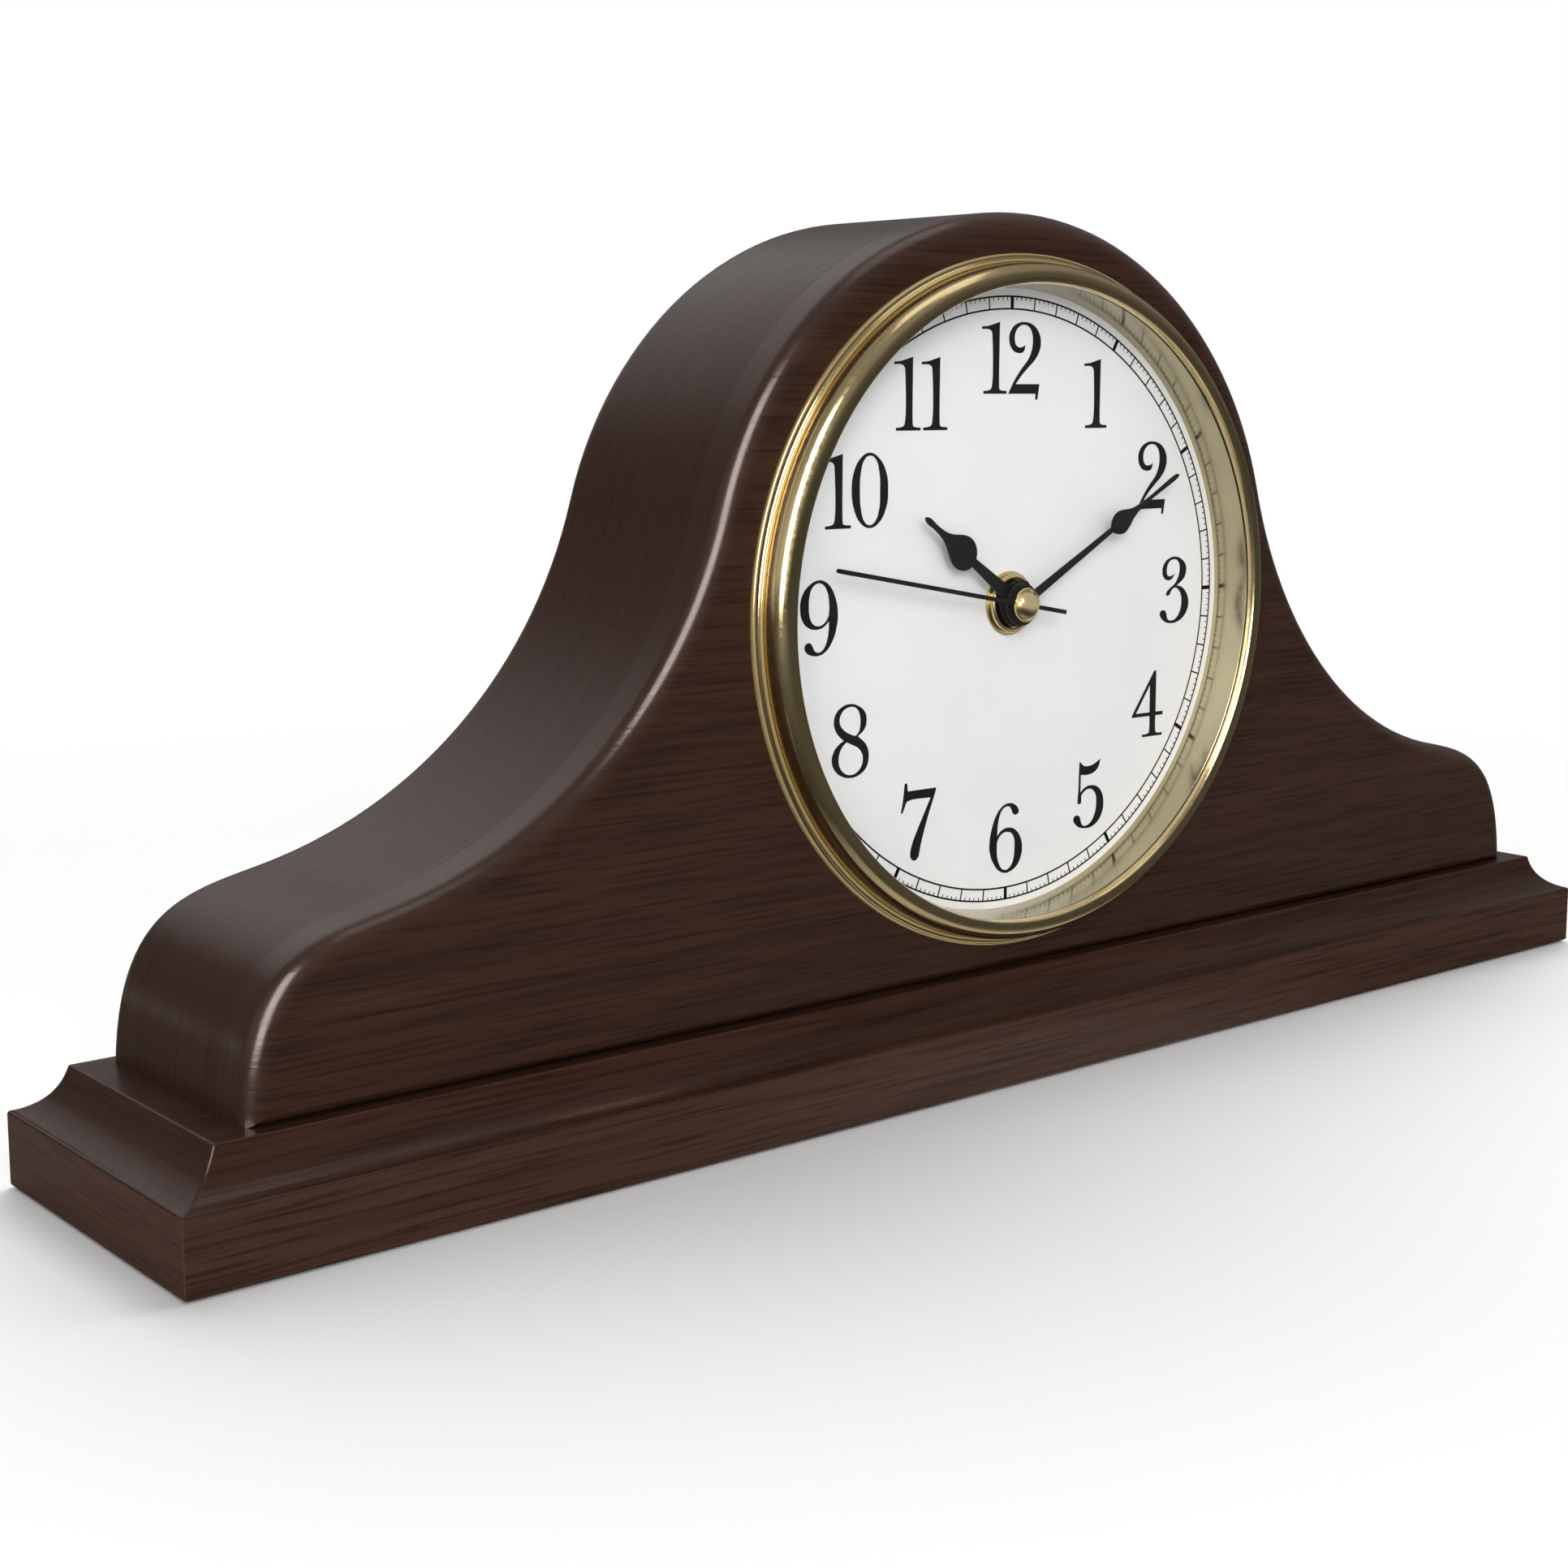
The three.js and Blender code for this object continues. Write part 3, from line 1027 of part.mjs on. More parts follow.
function rearShell() {
  const outer = shellHalf(SHELL_SIZE / 2, SHELL_CORNER, SHELL_SEAM, SHELL_REAR);
  const hollow = shellHalf(SHELL_INSIDE, INSIDE_CORNER, SHELL_SEAM - OVERSHOOT, SHELL_INSIDE_REAR);
  const wallFront = SHELL_INSIDE_REAR - OVERSHOOT;
  const wallRear = SHELL_REAR + OVERSHOOT;
  const bay = box(-SHELL_INSIDE, SHELL_INSIDE, wallFront, wallRear, -SHELL_INSIDE, BAY_TOP);
  const stemHole = rod(STEM_RADIUS + TUBE_CLEARANCE, wallFront, wallRear, SETTING_AXIS);
  const footing = SHELL_INSIDE_REAR + EMBED;
  const ribEnd = SHELL_INSIDE + EMBED;
  const rib = box(-ribEnd, ribEnd, SHELL_SEAM, footing, BAY_TOP, BAY_TOP + BAY_RIB);
  const intermediatePost = wheelRear(ROTOR_PLANE) + CLEARANCE;
  const rotorPost = MAGNET_FRONT + MAGNET_LENGTH + CLEARANCE;
  const statorLeft = new THREE.Vector2(COIL_LEFT + STATOR_ARM / 2, ROTOR_AXIS.y + STATOR_POST_RISE);
  const statorRight = new THREE.Vector2(COIL_RIGHT - STATOR_ARM / 2, ROTOR_AXIS.y);
  const boardMiddle = BOARD_LEFT + BOARD_WIDTH / 2;
  const lowerPost = new THREE.Vector2(boardMiddle, BOARD_BOTTOM + BOARD_POST_INSET);
  const upperPost = new THREE.Vector2(boardMiddle, BOARD_BOTTOM + BOARD_HEIGHT - BOARD_POST_INSET);
  const body = join(
    cut(outer, hollow, bay, stemHole),
    rib,
    pivotPost(HAND_AXIS, footing, wheelRear(SECOND_PLANE) + CLEARANCE),
    pivotPost(THIRD_AXIS, footing, wheelRear(THIRD_PLANE) + CLEARANCE),
    rod(PIVOT_POST_RADIUS, intermediatePost, footing, INTERMEDIATE_AXIS),
    rod(PIN_RADIUS, SECOND_PLANE + CLEARANCE, footing, INTERMEDIATE_AXIS),
    rod(PIVOT_POST_RADIUS, rotorPost, footing, ROTOR_AXIS),
    rod(PIN_RADIUS, ROTOR_PLANE + CLEARANCE, footing, ROTOR_AXIS),
    rod(PIVOT_POST_RADIUS, STATOR_REAR, footing, statorLeft),
    rod(PIVOT_POST_RADIUS, STATOR_REAR, footing, statorRight),
    rod(PIVOT_POST_RADIUS, BOARD_PANEL_REAR, footing, lowerPost),
    rod(PIVOT_POST_RADIUS, BOARD_PANEL_REAR, footing, upperPost),
  );
  return named('movement_rear_shell', body, BLACK_PLASTIC);
}

function motor() {
  const hole = MAGNET_RADIUS + STATOR_GAP;
  const ring = hole + STATOR_RIM;
  const coreTop = COIL_Z + CORE_HEIGHT / 2;
  const armFoot = ROTOR_AXIS.y + ring;
  const slab = (x0, x1, z0, z1) => plate(rectangle(x0, x1, z0, z1), STATOR_FRONT, STATOR_REAR);
  const stator = cut(
    join(
      rod(ring, STATOR_FRONT, STATOR_REAR, ROTOR_AXIS, ROUND_MEDIUM),
      slab(ROTOR_AXIS.x - hole, ROTOR_AXIS.x, ROTOR_AXIS.y, armFoot + STATOR_ARM),
      slab(COIL_LEFT, ROTOR_AXIS.x, armFoot, armFoot + STATOR_ARM),
      slab(COIL_LEFT, COIL_LEFT + STATOR_ARM, armFoot, coreTop),
      slab(ROTOR_AXIS.x, COIL_RIGHT, ROTOR_AXIS.y - STATOR_ARM / 2, ROTOR_AXIS.y + STATOR_ARM / 2),
      slab(COIL_RIGHT - STATOR_ARM, COIL_RIGHT, ROTOR_AXIS.y - STATOR_ARM / 2, coreTop),
    ),
    rod(hole, STATOR_FRONT - OVERSHOOT, STATOR_REAR + OVERSHOOT, ROTOR_AXIS, ROUND_MEDIUM),
  );
  const core = box(COIL_LEFT, COIL_RIGHT, CORE_FRONT, STATOR_FRONT, coreTop - CORE_HEIGHT, coreTop);
  const coreY = (CORE_FRONT + STATOR_FRONT) / 2;
  const bobbinLeft = COIL_LEFT + STATOR_ARM + BOBBIN_END_GAP;
  const bobbinRight = COIL_RIGHT - STATOR_ARM - BOBBIN_END_GAP;
  const bobbinRadius = Math.hypot(CORE_HEIGHT, STATOR_THICKNESS) / 2 + CLEARANCE + BOBBIN_WALL;
  const coreSlot = box(
    bobbinLeft - OVERSHOOT,
    bobbinRight + OVERSHOOT,
    CORE_FRONT - CLEARANCE,
    STATOR_FRONT + CLEARANCE,
    coreTop - CORE_HEIGHT - CLEARANCE,
    coreTop + CLEARANCE,
  );
  const along = (body) => lying(body).translate([0, coreY, COIL_Z]);
  const flange = (x) => along(rod(BOBBIN_FLANGE, -x - BOBBIN_FLANGE_THICKNESS, -x));
  const bobbin = cut(
    join(
      along(rod(bobbinRadius, -bobbinRight, -bobbinLeft)),
      flange(bobbinLeft),
      flange(bobbinRight - BOBBIN_FLANGE_THICKNESS),
    ),
    coreSlot,
  );
  const windingStart = bobbinLeft + BOBBIN_FLANGE_THICKNESS + CLEARANCE;
  const windingEnd = bobbinRight - BOBBIN_FLANGE_THICKNESS - CLEARANCE;
  const winding = along(tube(COIL_RADIUS, bobbinRadius + CLEARANCE, -windingEnd, -windingStart));
  return [
    named('stator_plate', stator, STEEL),
    named('coil_core', core, STEEL),
    named('coil_bobbin', bobbin, WHITE_PLASTIC),
    named('coil_winding', winding, COPPER),
  ];
}

function circuit() {
  const front = BOARD_PANEL_REAR - BOARD_THICKNESS;
  const right = BOARD_LEFT + BOARD_WIDTH;
  const top = BOARD_BOTTOM + BOARD_HEIGHT;
  const middle = (BOARD_LEFT + right) / 2;
  const crystal = standing(rod(CRYSTAL_RADIUS, 0, CRYSTAL_LENGTH)).translate([
    middle,
    front - CRYSTAL_RADIUS - TUBE_CLEARANCE,
    top - CRYSTAL_LENGTH - CRYSTAL_INSET,
  ]);
  const half = CHIP_SIZE / 2;
  const chipZ = BOARD_BOTTOM + BOARD_HEIGHT / 2;
  const chipFront = front - CHIP_THICKNESS;
  const chip = box(middle - half, middle + half, chipFront, front, chipZ - half, chipZ + half);
  const board = box(BOARD_LEFT, right, front, BOARD_PANEL_REAR, BOARD_BOTTOM, top);
  return [
    named('circuit_board', board, CIRCUIT_GREEN),
    named('quartz_crystal', crystal, STEEL),
    named('timer_chip', chip, BLACK_PLASTIC),
  ];
}

function cell() {
  const plateInner = SHELL_INSIDE - CONTACT_THICKNESS;
  const nubEnd = plateInner - CLEARANCE;
  const bodyEnd = nubEnd - CELL_NUB_LENGTH;
  const bodyStart = bodyEnd - CELL_LENGTH;
  const battery = lying(turned([
    [0, -bodyStart],
    [CELL_RADIUS - CELL_CRIMP, -bodyStart],
    [CELL_RADIUS, -bodyStart - CELL_CRIMP],
    [CELL_RADIUS, -bodyEnd + CELL_CRIMP],
    [CELL_RADIUS - CELL_CRIMP, -bodyEnd],
    [CELL_NUB_RADIUS, -bodyEnd],
    [CELL_NUB_RADIUS, -nubEnd],
    [0, -nubEnd],
  ], ROUND_MEDIUM)).translate([0, CELL_Y, CELL_Z]);
  const half = CONTACT_WIDTH / 2;
  const contact = (x0, x1) => box(x0, x1, CELL_Y - half, CELL_Y + half, CELL_Z - half, CELL_Z + half);
  const spring = lying(turned([
    [0, SHELL_INSIDE - CONTACT_THICKNESS / 2],
    [SPRING_FOOT_RADIUS, SHELL_INSIDE - CONTACT_THICKNESS / 2],
    [SPRING_TIP_RADIUS, plateInner - CONTACT_SPRING],
    [0, plateInner - CONTACT_SPRING],
  ], ROUND_SMALL)).translate([0, CELL_Y, CELL_Z]);
  return [
    named('battery', battery, CELL_JACKET),
    named('battery_contact_positive', contact(plateInner, SHELL_INSIDE), STEEL),
    named('battery_contact_negative', join(contact(-SHELL_INSIDE, -plateInner), spring), STEEL),
  ];
}

function movement() {
  const group = new THREE.Group();
  group.add(frontShell(), rearShell(), settingKnob());
  group.add(...coaxialWheels(), ...sideWheels(), ...motor(), ...circuit(), ...cell());
  group.position.z = HANDS;
  return group;
}

const clock = new THREE.Group();
clock.add(base(), caseShell(), dialInsert(), dialFixing(), hands(), movement());

export default clock;
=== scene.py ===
"""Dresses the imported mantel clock: smooth stained wood, turned gilt, printed dial and studio light."""
import math
import bmesh
import bpy
from mathutils import Matrix, Vector


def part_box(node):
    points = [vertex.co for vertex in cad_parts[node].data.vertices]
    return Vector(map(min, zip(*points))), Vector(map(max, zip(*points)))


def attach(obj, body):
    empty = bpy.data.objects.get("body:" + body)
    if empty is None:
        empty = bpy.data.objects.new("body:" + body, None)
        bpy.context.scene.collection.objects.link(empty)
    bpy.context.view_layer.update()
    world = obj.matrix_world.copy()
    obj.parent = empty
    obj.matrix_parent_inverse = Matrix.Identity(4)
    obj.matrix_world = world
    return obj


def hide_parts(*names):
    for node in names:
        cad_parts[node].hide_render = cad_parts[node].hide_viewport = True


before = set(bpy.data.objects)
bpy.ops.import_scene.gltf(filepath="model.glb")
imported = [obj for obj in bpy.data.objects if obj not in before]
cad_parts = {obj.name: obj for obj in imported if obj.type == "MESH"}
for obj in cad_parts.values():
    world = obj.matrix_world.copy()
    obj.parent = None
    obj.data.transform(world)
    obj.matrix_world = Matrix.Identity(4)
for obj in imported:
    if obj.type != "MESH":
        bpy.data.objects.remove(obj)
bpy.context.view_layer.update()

MM = 0.001

# Sizes taken from the solids

PLINTH_LOW, PLINTH_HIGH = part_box("base_plinth")
BOARD_LOW, BOARD_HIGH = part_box("case_front_board")
PANEL_LOW, PANEL_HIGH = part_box("back_panel")
BEZEL_LOW, BEZEL_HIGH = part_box("bezel_ring")
DIAL_LOW, DIAL_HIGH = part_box("dial_plate")
LENS_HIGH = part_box("lens_glass")[1]
HAND_HEIGHT = (BEZEL_LOW[2] + BEZEL_HIGH[2]) / 2
HAND_AXIS = (0, 0, HAND_HEIGHT)
DECK = PLINTH_HIGH[2]
CASE_FRONT = BOARD_LOW[1]
BOARD_REAR = BOARD_HIGH[1]
CASE_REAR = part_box("case_hood")[1][1]
CASE_HALF = BOARD_HIGH[0]
TOP_RADIUS = BOARD_HIGH[2] - HAND_HEIGHT
BEZEL_RADIUS = BEZEL_HIGH[0]
BEZEL_FRONT = BEZEL_LOW[1]
DIAL_FRONT = DIAL_LOW[1]
DIAL_REAR = DIAL_HIGH[1]

# Sizes of the case, the plinth and the bores, as in the solids

NECK_START_ANGLE = 16
SHOULDER_REACH = 35.9 * MM
SHOULDER_RISE = 36.6 * MM
SHOULDER_SLOPE_PULL = 17.9 * MM
SHOULDER_END_PULL = 33.3 * MM
END_LEAN = 3.3
ROUNDOVER = 5 * MM
BELOW_DECK = 12 * MM
BEZEL_BORE = 74.3 * MM
HOOD_WALL = 10 * MM
BACK_REBATE = 6.5 * MM
PANEL_INSET = 6.8 * MM
PANEL_OPENING = 55 * MM
BAND = 15 * MM
COVE_AT_ENDS = 9.8 * MM
COVE_AT_FRONT = 7.5 * MM
COVE_SAG = 1.9 * MM
SCREW_WELL = 4.1 * MM
SCREW_WELL_DEPTH = 8.5 * MM
PAD_POCKET = 9.3 * MM
DIAL_HOLE = 4.3 * MM
NUT_BORE = 4.05 * MM

# Sizes that only the scene has

COVE_STEPS = 12
ARRIS = 0.5 * MM
FOOT_ROUND = 2.7 * MM
FOOT_CLEARANCE = 0.1 * MM
LENS_THICKNESS = 0.7 * MM
GROUND_EDGE = 0.2 * MM
WELD = 1e-6

AXES = {"X": Vector((1, 0, 0)), "Y": Vector((0, 1, 0)), "Z": Vector((0, 0, 1))}
CORNER = "corner"


# Modelling

def deselect():
    """Leaves nothing selected, so that the next tool acts only on what is chosen."""
    if bpy.context.mode != "OBJECT":
        bpy.ops.object.mode_set(mode="OBJECT")
    bpy.ops.object.select_all(action="DESELECT")


def choose(piece):
    """Selects one piece and makes it the one being worked on."""
    deselect()
    piece.select_set(True)
    bpy.context.view_layer.objects.active = piece
    return piece


def work_on(piece):
    """Opens a piece in edit mode with everything in it selected."""
    choose(piece)
    bpy.ops.object.mode_set(mode="EDIT")
    bpy.ops.mesh.select_all(action="SELECT")


def pick(piece, kind, test):
    """Opens a piece in edit mode and selects the edges or faces that pass a test."""
    choose(piece)
    bpy.ops.object.mode_set(mode="EDIT")
    bpy.ops.mesh.select_mode(type=kind)
    bpy.ops.mesh.select_all(action="DESELECT")
    shape = bmesh.from_edit_mesh(piece.data)
    for part in shape.edges if kind == "EDGE" else shape.faces:
        if test(part):
            part.select_set(True)
    shape.select_flush_mode()
    bmesh.update_edit_mesh(piece.data)


def put_down(piece):
    """Ends the work on a piece and writes its place into its mesh."""
    choose(piece)
    bpy.ops.object.transform_apply(location=True, rotation=True, scale=True)
    return piece


def throw_away(piece):
    """Removes a cutter or a model that has been copied."""
    bpy.data.objects.remove(piece, do_unlink=True)


def apply_modifier(piece, kind, **settings):
    """Gives a piece a modifier and applies it."""
    choose(piece)
    modifier = piece.modifiers.new(kind.title(), kind)
    for name, value in settings.items():
        setattr(modifier, name, value)
    bpy.ops.object.modifier_apply(modifier=modifier.name)
    return piece


def combine(piece, other, operation):
    """Works another shape into a piece and throws it away."""
    apply_modifier(piece, "BOOLEAN", object=other, operation=operation, solver="EXACT")
    throw_away(other)
    return piece


def cut(piece, cutter):
    """Takes the cutter's shape out of a piece."""
    return combine(piece, cutter, "DIFFERENCE")


def unite(piece, other):
    """Makes two closed shapes one."""
    return combine(piece, other, "UNION")


def join(piece, *others):
    """Puts separate shapes into one piece."""
    choose(piece)
    for other in others:
        other.select_set(True)
    bpy.ops.object.join()
    return piece


def ease_edges(piece, width, segments=2, angle=35):
    """Breaks the edges of a piece that are sharper than the angle."""
    return apply_modifier(
        piece, "BEVEL", width=width, segments=segments, limit_method="ANGLE",
        angle_limit=math.radians(angle), use_clamp_overlap=True, harden_normals=False,
    )


def smooth(piece, angle, weighted=False):
    """Smooth shading that keeps the edges sharper than the angle."""
    choose(piece)
    bpy.ops.object.shade_smooth_by_angle(angle=math.radians(angle))
    if weighted:
        apply_modifier(piece, "WEIGHTED_NORMAL", keep_sharp=True, weight=60)
    return piece


def clean(piece):
    """Merges doubles and turns the faces outwards."""
    work_on(piece)
    bpy.ops.mesh.remove_doubles(threshold=WELD)
    bpy.ops.mesh.normals_make_consistent(inside=False)
    deselect()
    return piece


def dress(piece, finish, slot, *nodes, body="case"):
    """Gives a piece its finish and its place in the frame, instead of the solids that it replaces."""
    piece.data.materials.clear()
    piece.data.materials.append(finish)
    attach(piece, body)
    if nodes:
        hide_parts(*nodes)


def also_finish(piece, finish, test):
    """Gives the faces that pass a test another finish."""
    piece.data.materials.append(finish)
    for face in piece.data.polygons:
        if test(face):
            face.material_index = len(piece.data.materials) - 1


def start_curve(name, flat):
    """A new curve with no line in it yet."""
    deselect()
    bpy.ops.curve.primitive_bezier_curve_add(location=(0, 0, 0))
    drawing = bpy.context.object
    drawing.name = name
    drawing.data.name = name
    drawing.data.splines.clear()
    drawing.data.dimensions = "2D" if flat else "3D"
    return drawing


def start_sheet(name, front, rear, steps, swell):
    """A new flat curve, filled and as thick as the two depths are apart."""
    drawing = start_curve(name, flat=True)
    drawing.data.fill_mode = "BOTH"
    drawing.data.resolution_u = steps
    drawing.data.extrude = abs(rear - front) / 2
    drawing.data.offset = swell
    return drawing


def add_line(drawing, points, closed):
    """Draws a line through points: smooth at plain ones, with a corner at those marked so."""
    line = drawing.data.splines.new("BEZIER")
    line.bezier_points.add(len(points) - 1)
    for knot, point in zip(line.bezier_points, points):
        kind = "VECTOR" if CORNER in point else "AUTO"
        knot.co = point[0]
        knot.handle_left_type = kind
        knot.handle_right_type = kind
    line.use_cyclic_u = closed


def to_mesh(drawing):
    """Makes a curve a mesh."""
    choose(drawing)
    bpy.ops.object.convert(target="MESH")
    return bpy.context.object


def stand_up(piece, front, rear):
    """Turns a flat mesh to face the front and puts it between two depths."""
    piece.rotation_euler = (math.pi / 2, 0, 0)
    piece.location = (0, (front + rear) / 2, 0)
    return clean(put_down(piece))


def wound(outline, hole):
    """An outline drawn anticlockwise, or clockwise for a hole."""
    turn = 0
    for here, there in zip(outline, outline[1:] + outline[:1]):
        turn += here[0] * there[1] - there[0] * here[1]
    return outline[::-1] if (turn < 0) != hole else outline


def flat_shape(name, outlines, front, rear, steps=8, swell=0.0):
    """A flat shape in X and Z from drawn outlines, between two depths."""
    drawing = start_sheet(name, front, rear, steps, swell)
    for outline in outlines:
        points = [((point[0], point[1], 0),) + tuple(point[2:]) for point in outline]
        add_line(drawing, points, closed=True)
    return stand_up(to_mesh(drawing), front, rear)


def sharp(points):
    """Points with a corner at each."""
    return [(*point, CORNER) for point in points]


def from_rim(radius, face):
    """A way to give points of a turned piece in millimetres, inwards from its rim and on from a face."""
    def point(inwards, onwards, *mark):
        return (radius - inwards * MM, face + onwards * MM, *mark)
    return point


def turned(name, profile, centre, steps, curve_steps, along="Y", closed=True):
    """A piece turned on a lathe from points of radius and place along its axis."""
    drawing = start_curve(name, flat=False)
    drawing.data.resolution_u = curve_steps
    across = AXES["Z" if along == "X" else "X"]
    axis = AXES[along]
    points = []
    for point in profile:
        place = Vector(centre) + across * point[0] + axis * point[1]
        points.append((place,) + tuple(point[2:]))
    add_line(drawing, points, closed)
    piece = to_mesh(drawing)
    work_on(piece)
    bpy.ops.mesh.remove_doubles(threshold=WELD / 10)
    bpy.ops.mesh.select_all(action="SELECT")
    bpy.ops.mesh.spin(steps=steps, angle=2 * math.pi, center=centre, axis=axis)
    return clean(piece)


def rod(name, radius, low, high, centre, along="Y", steps=128):
    """A plain round cutter."""
    turn = {"X": (0, math.pi / 2, 0), "Y": (math.pi / 2, 0, 0), "Z": (0, 0, 0)}[along]
    place = Vector(centre) + AXES[along] * (low + high) / 2
    deselect()
    bpy.ops.mesh.primitive_cylinder_add(
        vertices=steps, radius=radius, depth=high - low, location=place, rotation=turn)
    cutter = bpy.context.object
    cutter.name = name
    return put_down(cutter)


def block(name, low, high):
    """A block between two corners."""
    deselect()
    bpy.ops.mesh.primitive_cube_add(size=1, location=[(a + b) / 2 for a, b in zip(low, high)])
    made = bpy.context.object
    made.name = name
    made.scale = [b - a for a, b in zip(low, high)]
    return put_down(made)


def copy_of(piece, name):
    """A copy of a piece with its own mesh."""
    choose(piece)
    bpy.ops.object.duplicate(linked=False)
    made = bpy.context.object
    made.name = name
    made.data.name = name
    return made


def eased_copy(node, name, width):
    """A copy of a solid with its flat faces made whole and its edges broken."""
    made = bpy.data.objects.new(name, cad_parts[node].data.copy())
    bpy.context.scene.collection.objects.link(made)
    work_on(made)
    bpy.ops.mesh.remove_doubles(threshold=WELD)
    bpy.ops.mesh.dissolve_limited(angle_limit=math.radians(0.5))
    deselect()
    ease_edges(made, width)
    return smooth(made, 30)


def middle(node):
    """The middle of a solid's box."""
    return [(a + b) / 2 for a, b in zip(*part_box(node))]


def under(node):
    """The place on the floor below the middle of a solid."""
    return (*middle(node)[:2], 0)


def turn_about_hands(angle):
    """A turn about the hands' axis, clockwise from the front, in degrees."""
    turn = Matrix.Rotation(math.radians(angle), 4, "Y")
    return Matrix.Translation(HAND_AXIS) @ turn @ Matrix.Translation((0, 0, -HAND_HEIGHT))


# Finishes, made of node outputs that are wired to inputs

WHITE = (1, 1, 1, 1)
WARM_GLOSS = (1, 0.86, 0.8, 1)
PLAIN_STAIN = ((52, 33, 25), (56, 35, 26), (60, 38, 28))
FIGURED_STAIN = ((50, 32, 24), (60, 38, 29), (67, 44, 33))
# The band's lighter colours are painted light: they stand in for the brighter light that falls on the
# plinth's band.
PLAIN_BAND_PAINTED_LIGHT = ((74, 52, 43), (79, 55, 45), (84, 59, 48))
FIGURED_BAND_PAINTED_LIGHT = ((64, 44, 35), (73, 50, 40), (80, 56, 45))
PLAIN_PORE = (228, 224, 222)
FIGURED_PORE = (204, 196, 192)
NO_PORE = (255, 255, 255)
FIGURE_STOPS = (0.3, 0.52, 0.72)
PORE_STOPS = (0.34, 0.5)
FACING_RANGE = (0.3, 0.55)
LACQUER_DULLNESS = (0.28, 0.17)
PORE_RELIEF = 0.3
PORE_DEPTH = 0.12 * MM
FIBRE_DEPTH = 0.15 * MM
ALONG_GRAIN = 13
ACROSS_GRAIN = 330
ALONG_PORES = 34
ACROSS_PORES = 1300
ALONG_FIBRES = 12
ACROSS_FIBRES = 160

# A mix node's inputs and output go by number, for each kind of value.
MIX_SOCKETS = {"FLOAT": (2, 3, 0), "RGBA": (6, 7, 2)}


def seen(red, green, blue):
    """The colour that shows as these values from 0 to 255."""
    linear = []
    for value in (red, green, blue):
        share = value / 255
        linear.append(share / 12.92 if share <= 0.04045 else ((share + 0.055) / 1.055) ** 2.4)
    return (*linear, 1)


def new_finish(name, **settings):
    """A material and its shader, with the values that are the same all over set on the shader."""
    material = bpy.data.materials.new(name)
    material.use_nodes = True
    shader = material.node_tree.nodes["Principled BSDF"]
    for socket, value in settings.items():
        shader.inputs[socket.replace("_", " ").title().replace("Ior", "IOR")].default_value = value
    return material, shader


def add_node(tree, kind, sockets=None, **attributes):
    """A node with its settings."""
    made = tree.nodes.new(kind)
    for name, value in attributes.items():
        setattr(made, name, value)
    for name, value in (sockets or {}).items():
        made.inputs[name].default_value = value
    return made


def wire(output, socket):
    """Joins a node's output to another node's input."""
    output.id_data.links.new(output, socket)


def coordinates(tree, kind="Object"):
    """The piece's own coordinates, its normals or the direction of a ray."""
    return add_node(tree, "ShaderNodeTexCoord").outputs[kind]


def parts_of(vector):
    """The three parts of a vector, by the names of their axes."""
    made = add_node(vector.id_data, "ShaderNodeSeparateXYZ")
    wire(vector, made.inputs["Vector"])
    return made.outputs


def worked_out(operation, first, second):
    """A value worked out from two others."""
    made = add_node(first.id_data, "ShaderNodeMath", operation=operation)
    wire(first, made.inputs[0])
    wire(second, made.inputs[1])
    return made.outputs["Value"]


def vector_work(operation, vector, other=(0, 0, 0), result="Value"):
    """What a vector gives by itself or with a fixed one."""
    made = add_node(vector.id_data, "ShaderNodeVectorMath", {1: other}, operation=operation)
    wire(vector, made.inputs[0])
    return made.outputs[result]


def pattern(tree, scale, detail=3, roughness=0.55, distortion=0.0):
    """Noise on the piece's own coordinates, with one scale or one for each axis."""
    scales = scale if isinstance(scale, list) else [scale] * 3
    mapping = add_node(tree, "ShaderNodeMapping", {"Scale": scales})
    noise = add_node(
        tree, "ShaderNodeTexNoise",
        {"Scale": 1.0, "Detail": detail, "Roughness": roughness, "Distortion": distortion})
    wire(coordinates(tree), mapping.inputs["Vector"])
    wire(mapping.outputs["Vector"], noise.inputs["Vector"])
    return noise.outputs["Fac"]


def ramp(value, *stops):
    """Colours by a value, from the places and colours of a ramp."""
    made = add_node(value.id_data, "ShaderNodeValToRGB")
    bands = made.color_ramp.elements
    while len(bands) < len(stops):
        bands.new(0.5)
    for band, (place, colour) in zip(bands, stops):
        band.position = place
        band.color = seen(*colour)
    wire(value, made.inputs["Fac"])
    return made.outputs["Color"]


def two_tones(value, dark, light):
    """A dark and a light colour by a value."""
    return ramp(value, (0.3, dark), (0.7, light))


def spread(value, low, high, start=0.3, end=0.7):
    """A value carried over to another range."""
    made = add_node(
        value.id_data, "ShaderNodeMapRange",
        {"From Min": start, "From Max": end, "To Min": low, "To Max": high})
    wire(value, made.inputs["Value"])
    return made.outputs["Result"]


def mixed(first, second, share=None, kind="RGBA", mode="MIX"):
    """Two colours or values mixed by a share, or wholly if none is given."""
    near, far, result = MIX_SOCKETS[kind]
    made = add_node(
        first.id_data, "ShaderNodeMix", {"Factor": 1.0}, data_type=kind, blend_type=mode)
    wire(first, made.inputs[near])
    wire(second, made.inputs[far])
    if share is not None:
        wire(share, made.inputs[0])
    return made.outputs[result]


def mix_shaders(share, first, second, output):
    """Shows the second shader in place of the first, by a share."""
    made = add_node(share.id_data, "ShaderNodeMixShader")
    for number, source in enumerate((share, first, second)):
        wire(source, made.inputs[number])
    wire(made.outputs["Shader"], output.inputs["Surface"])


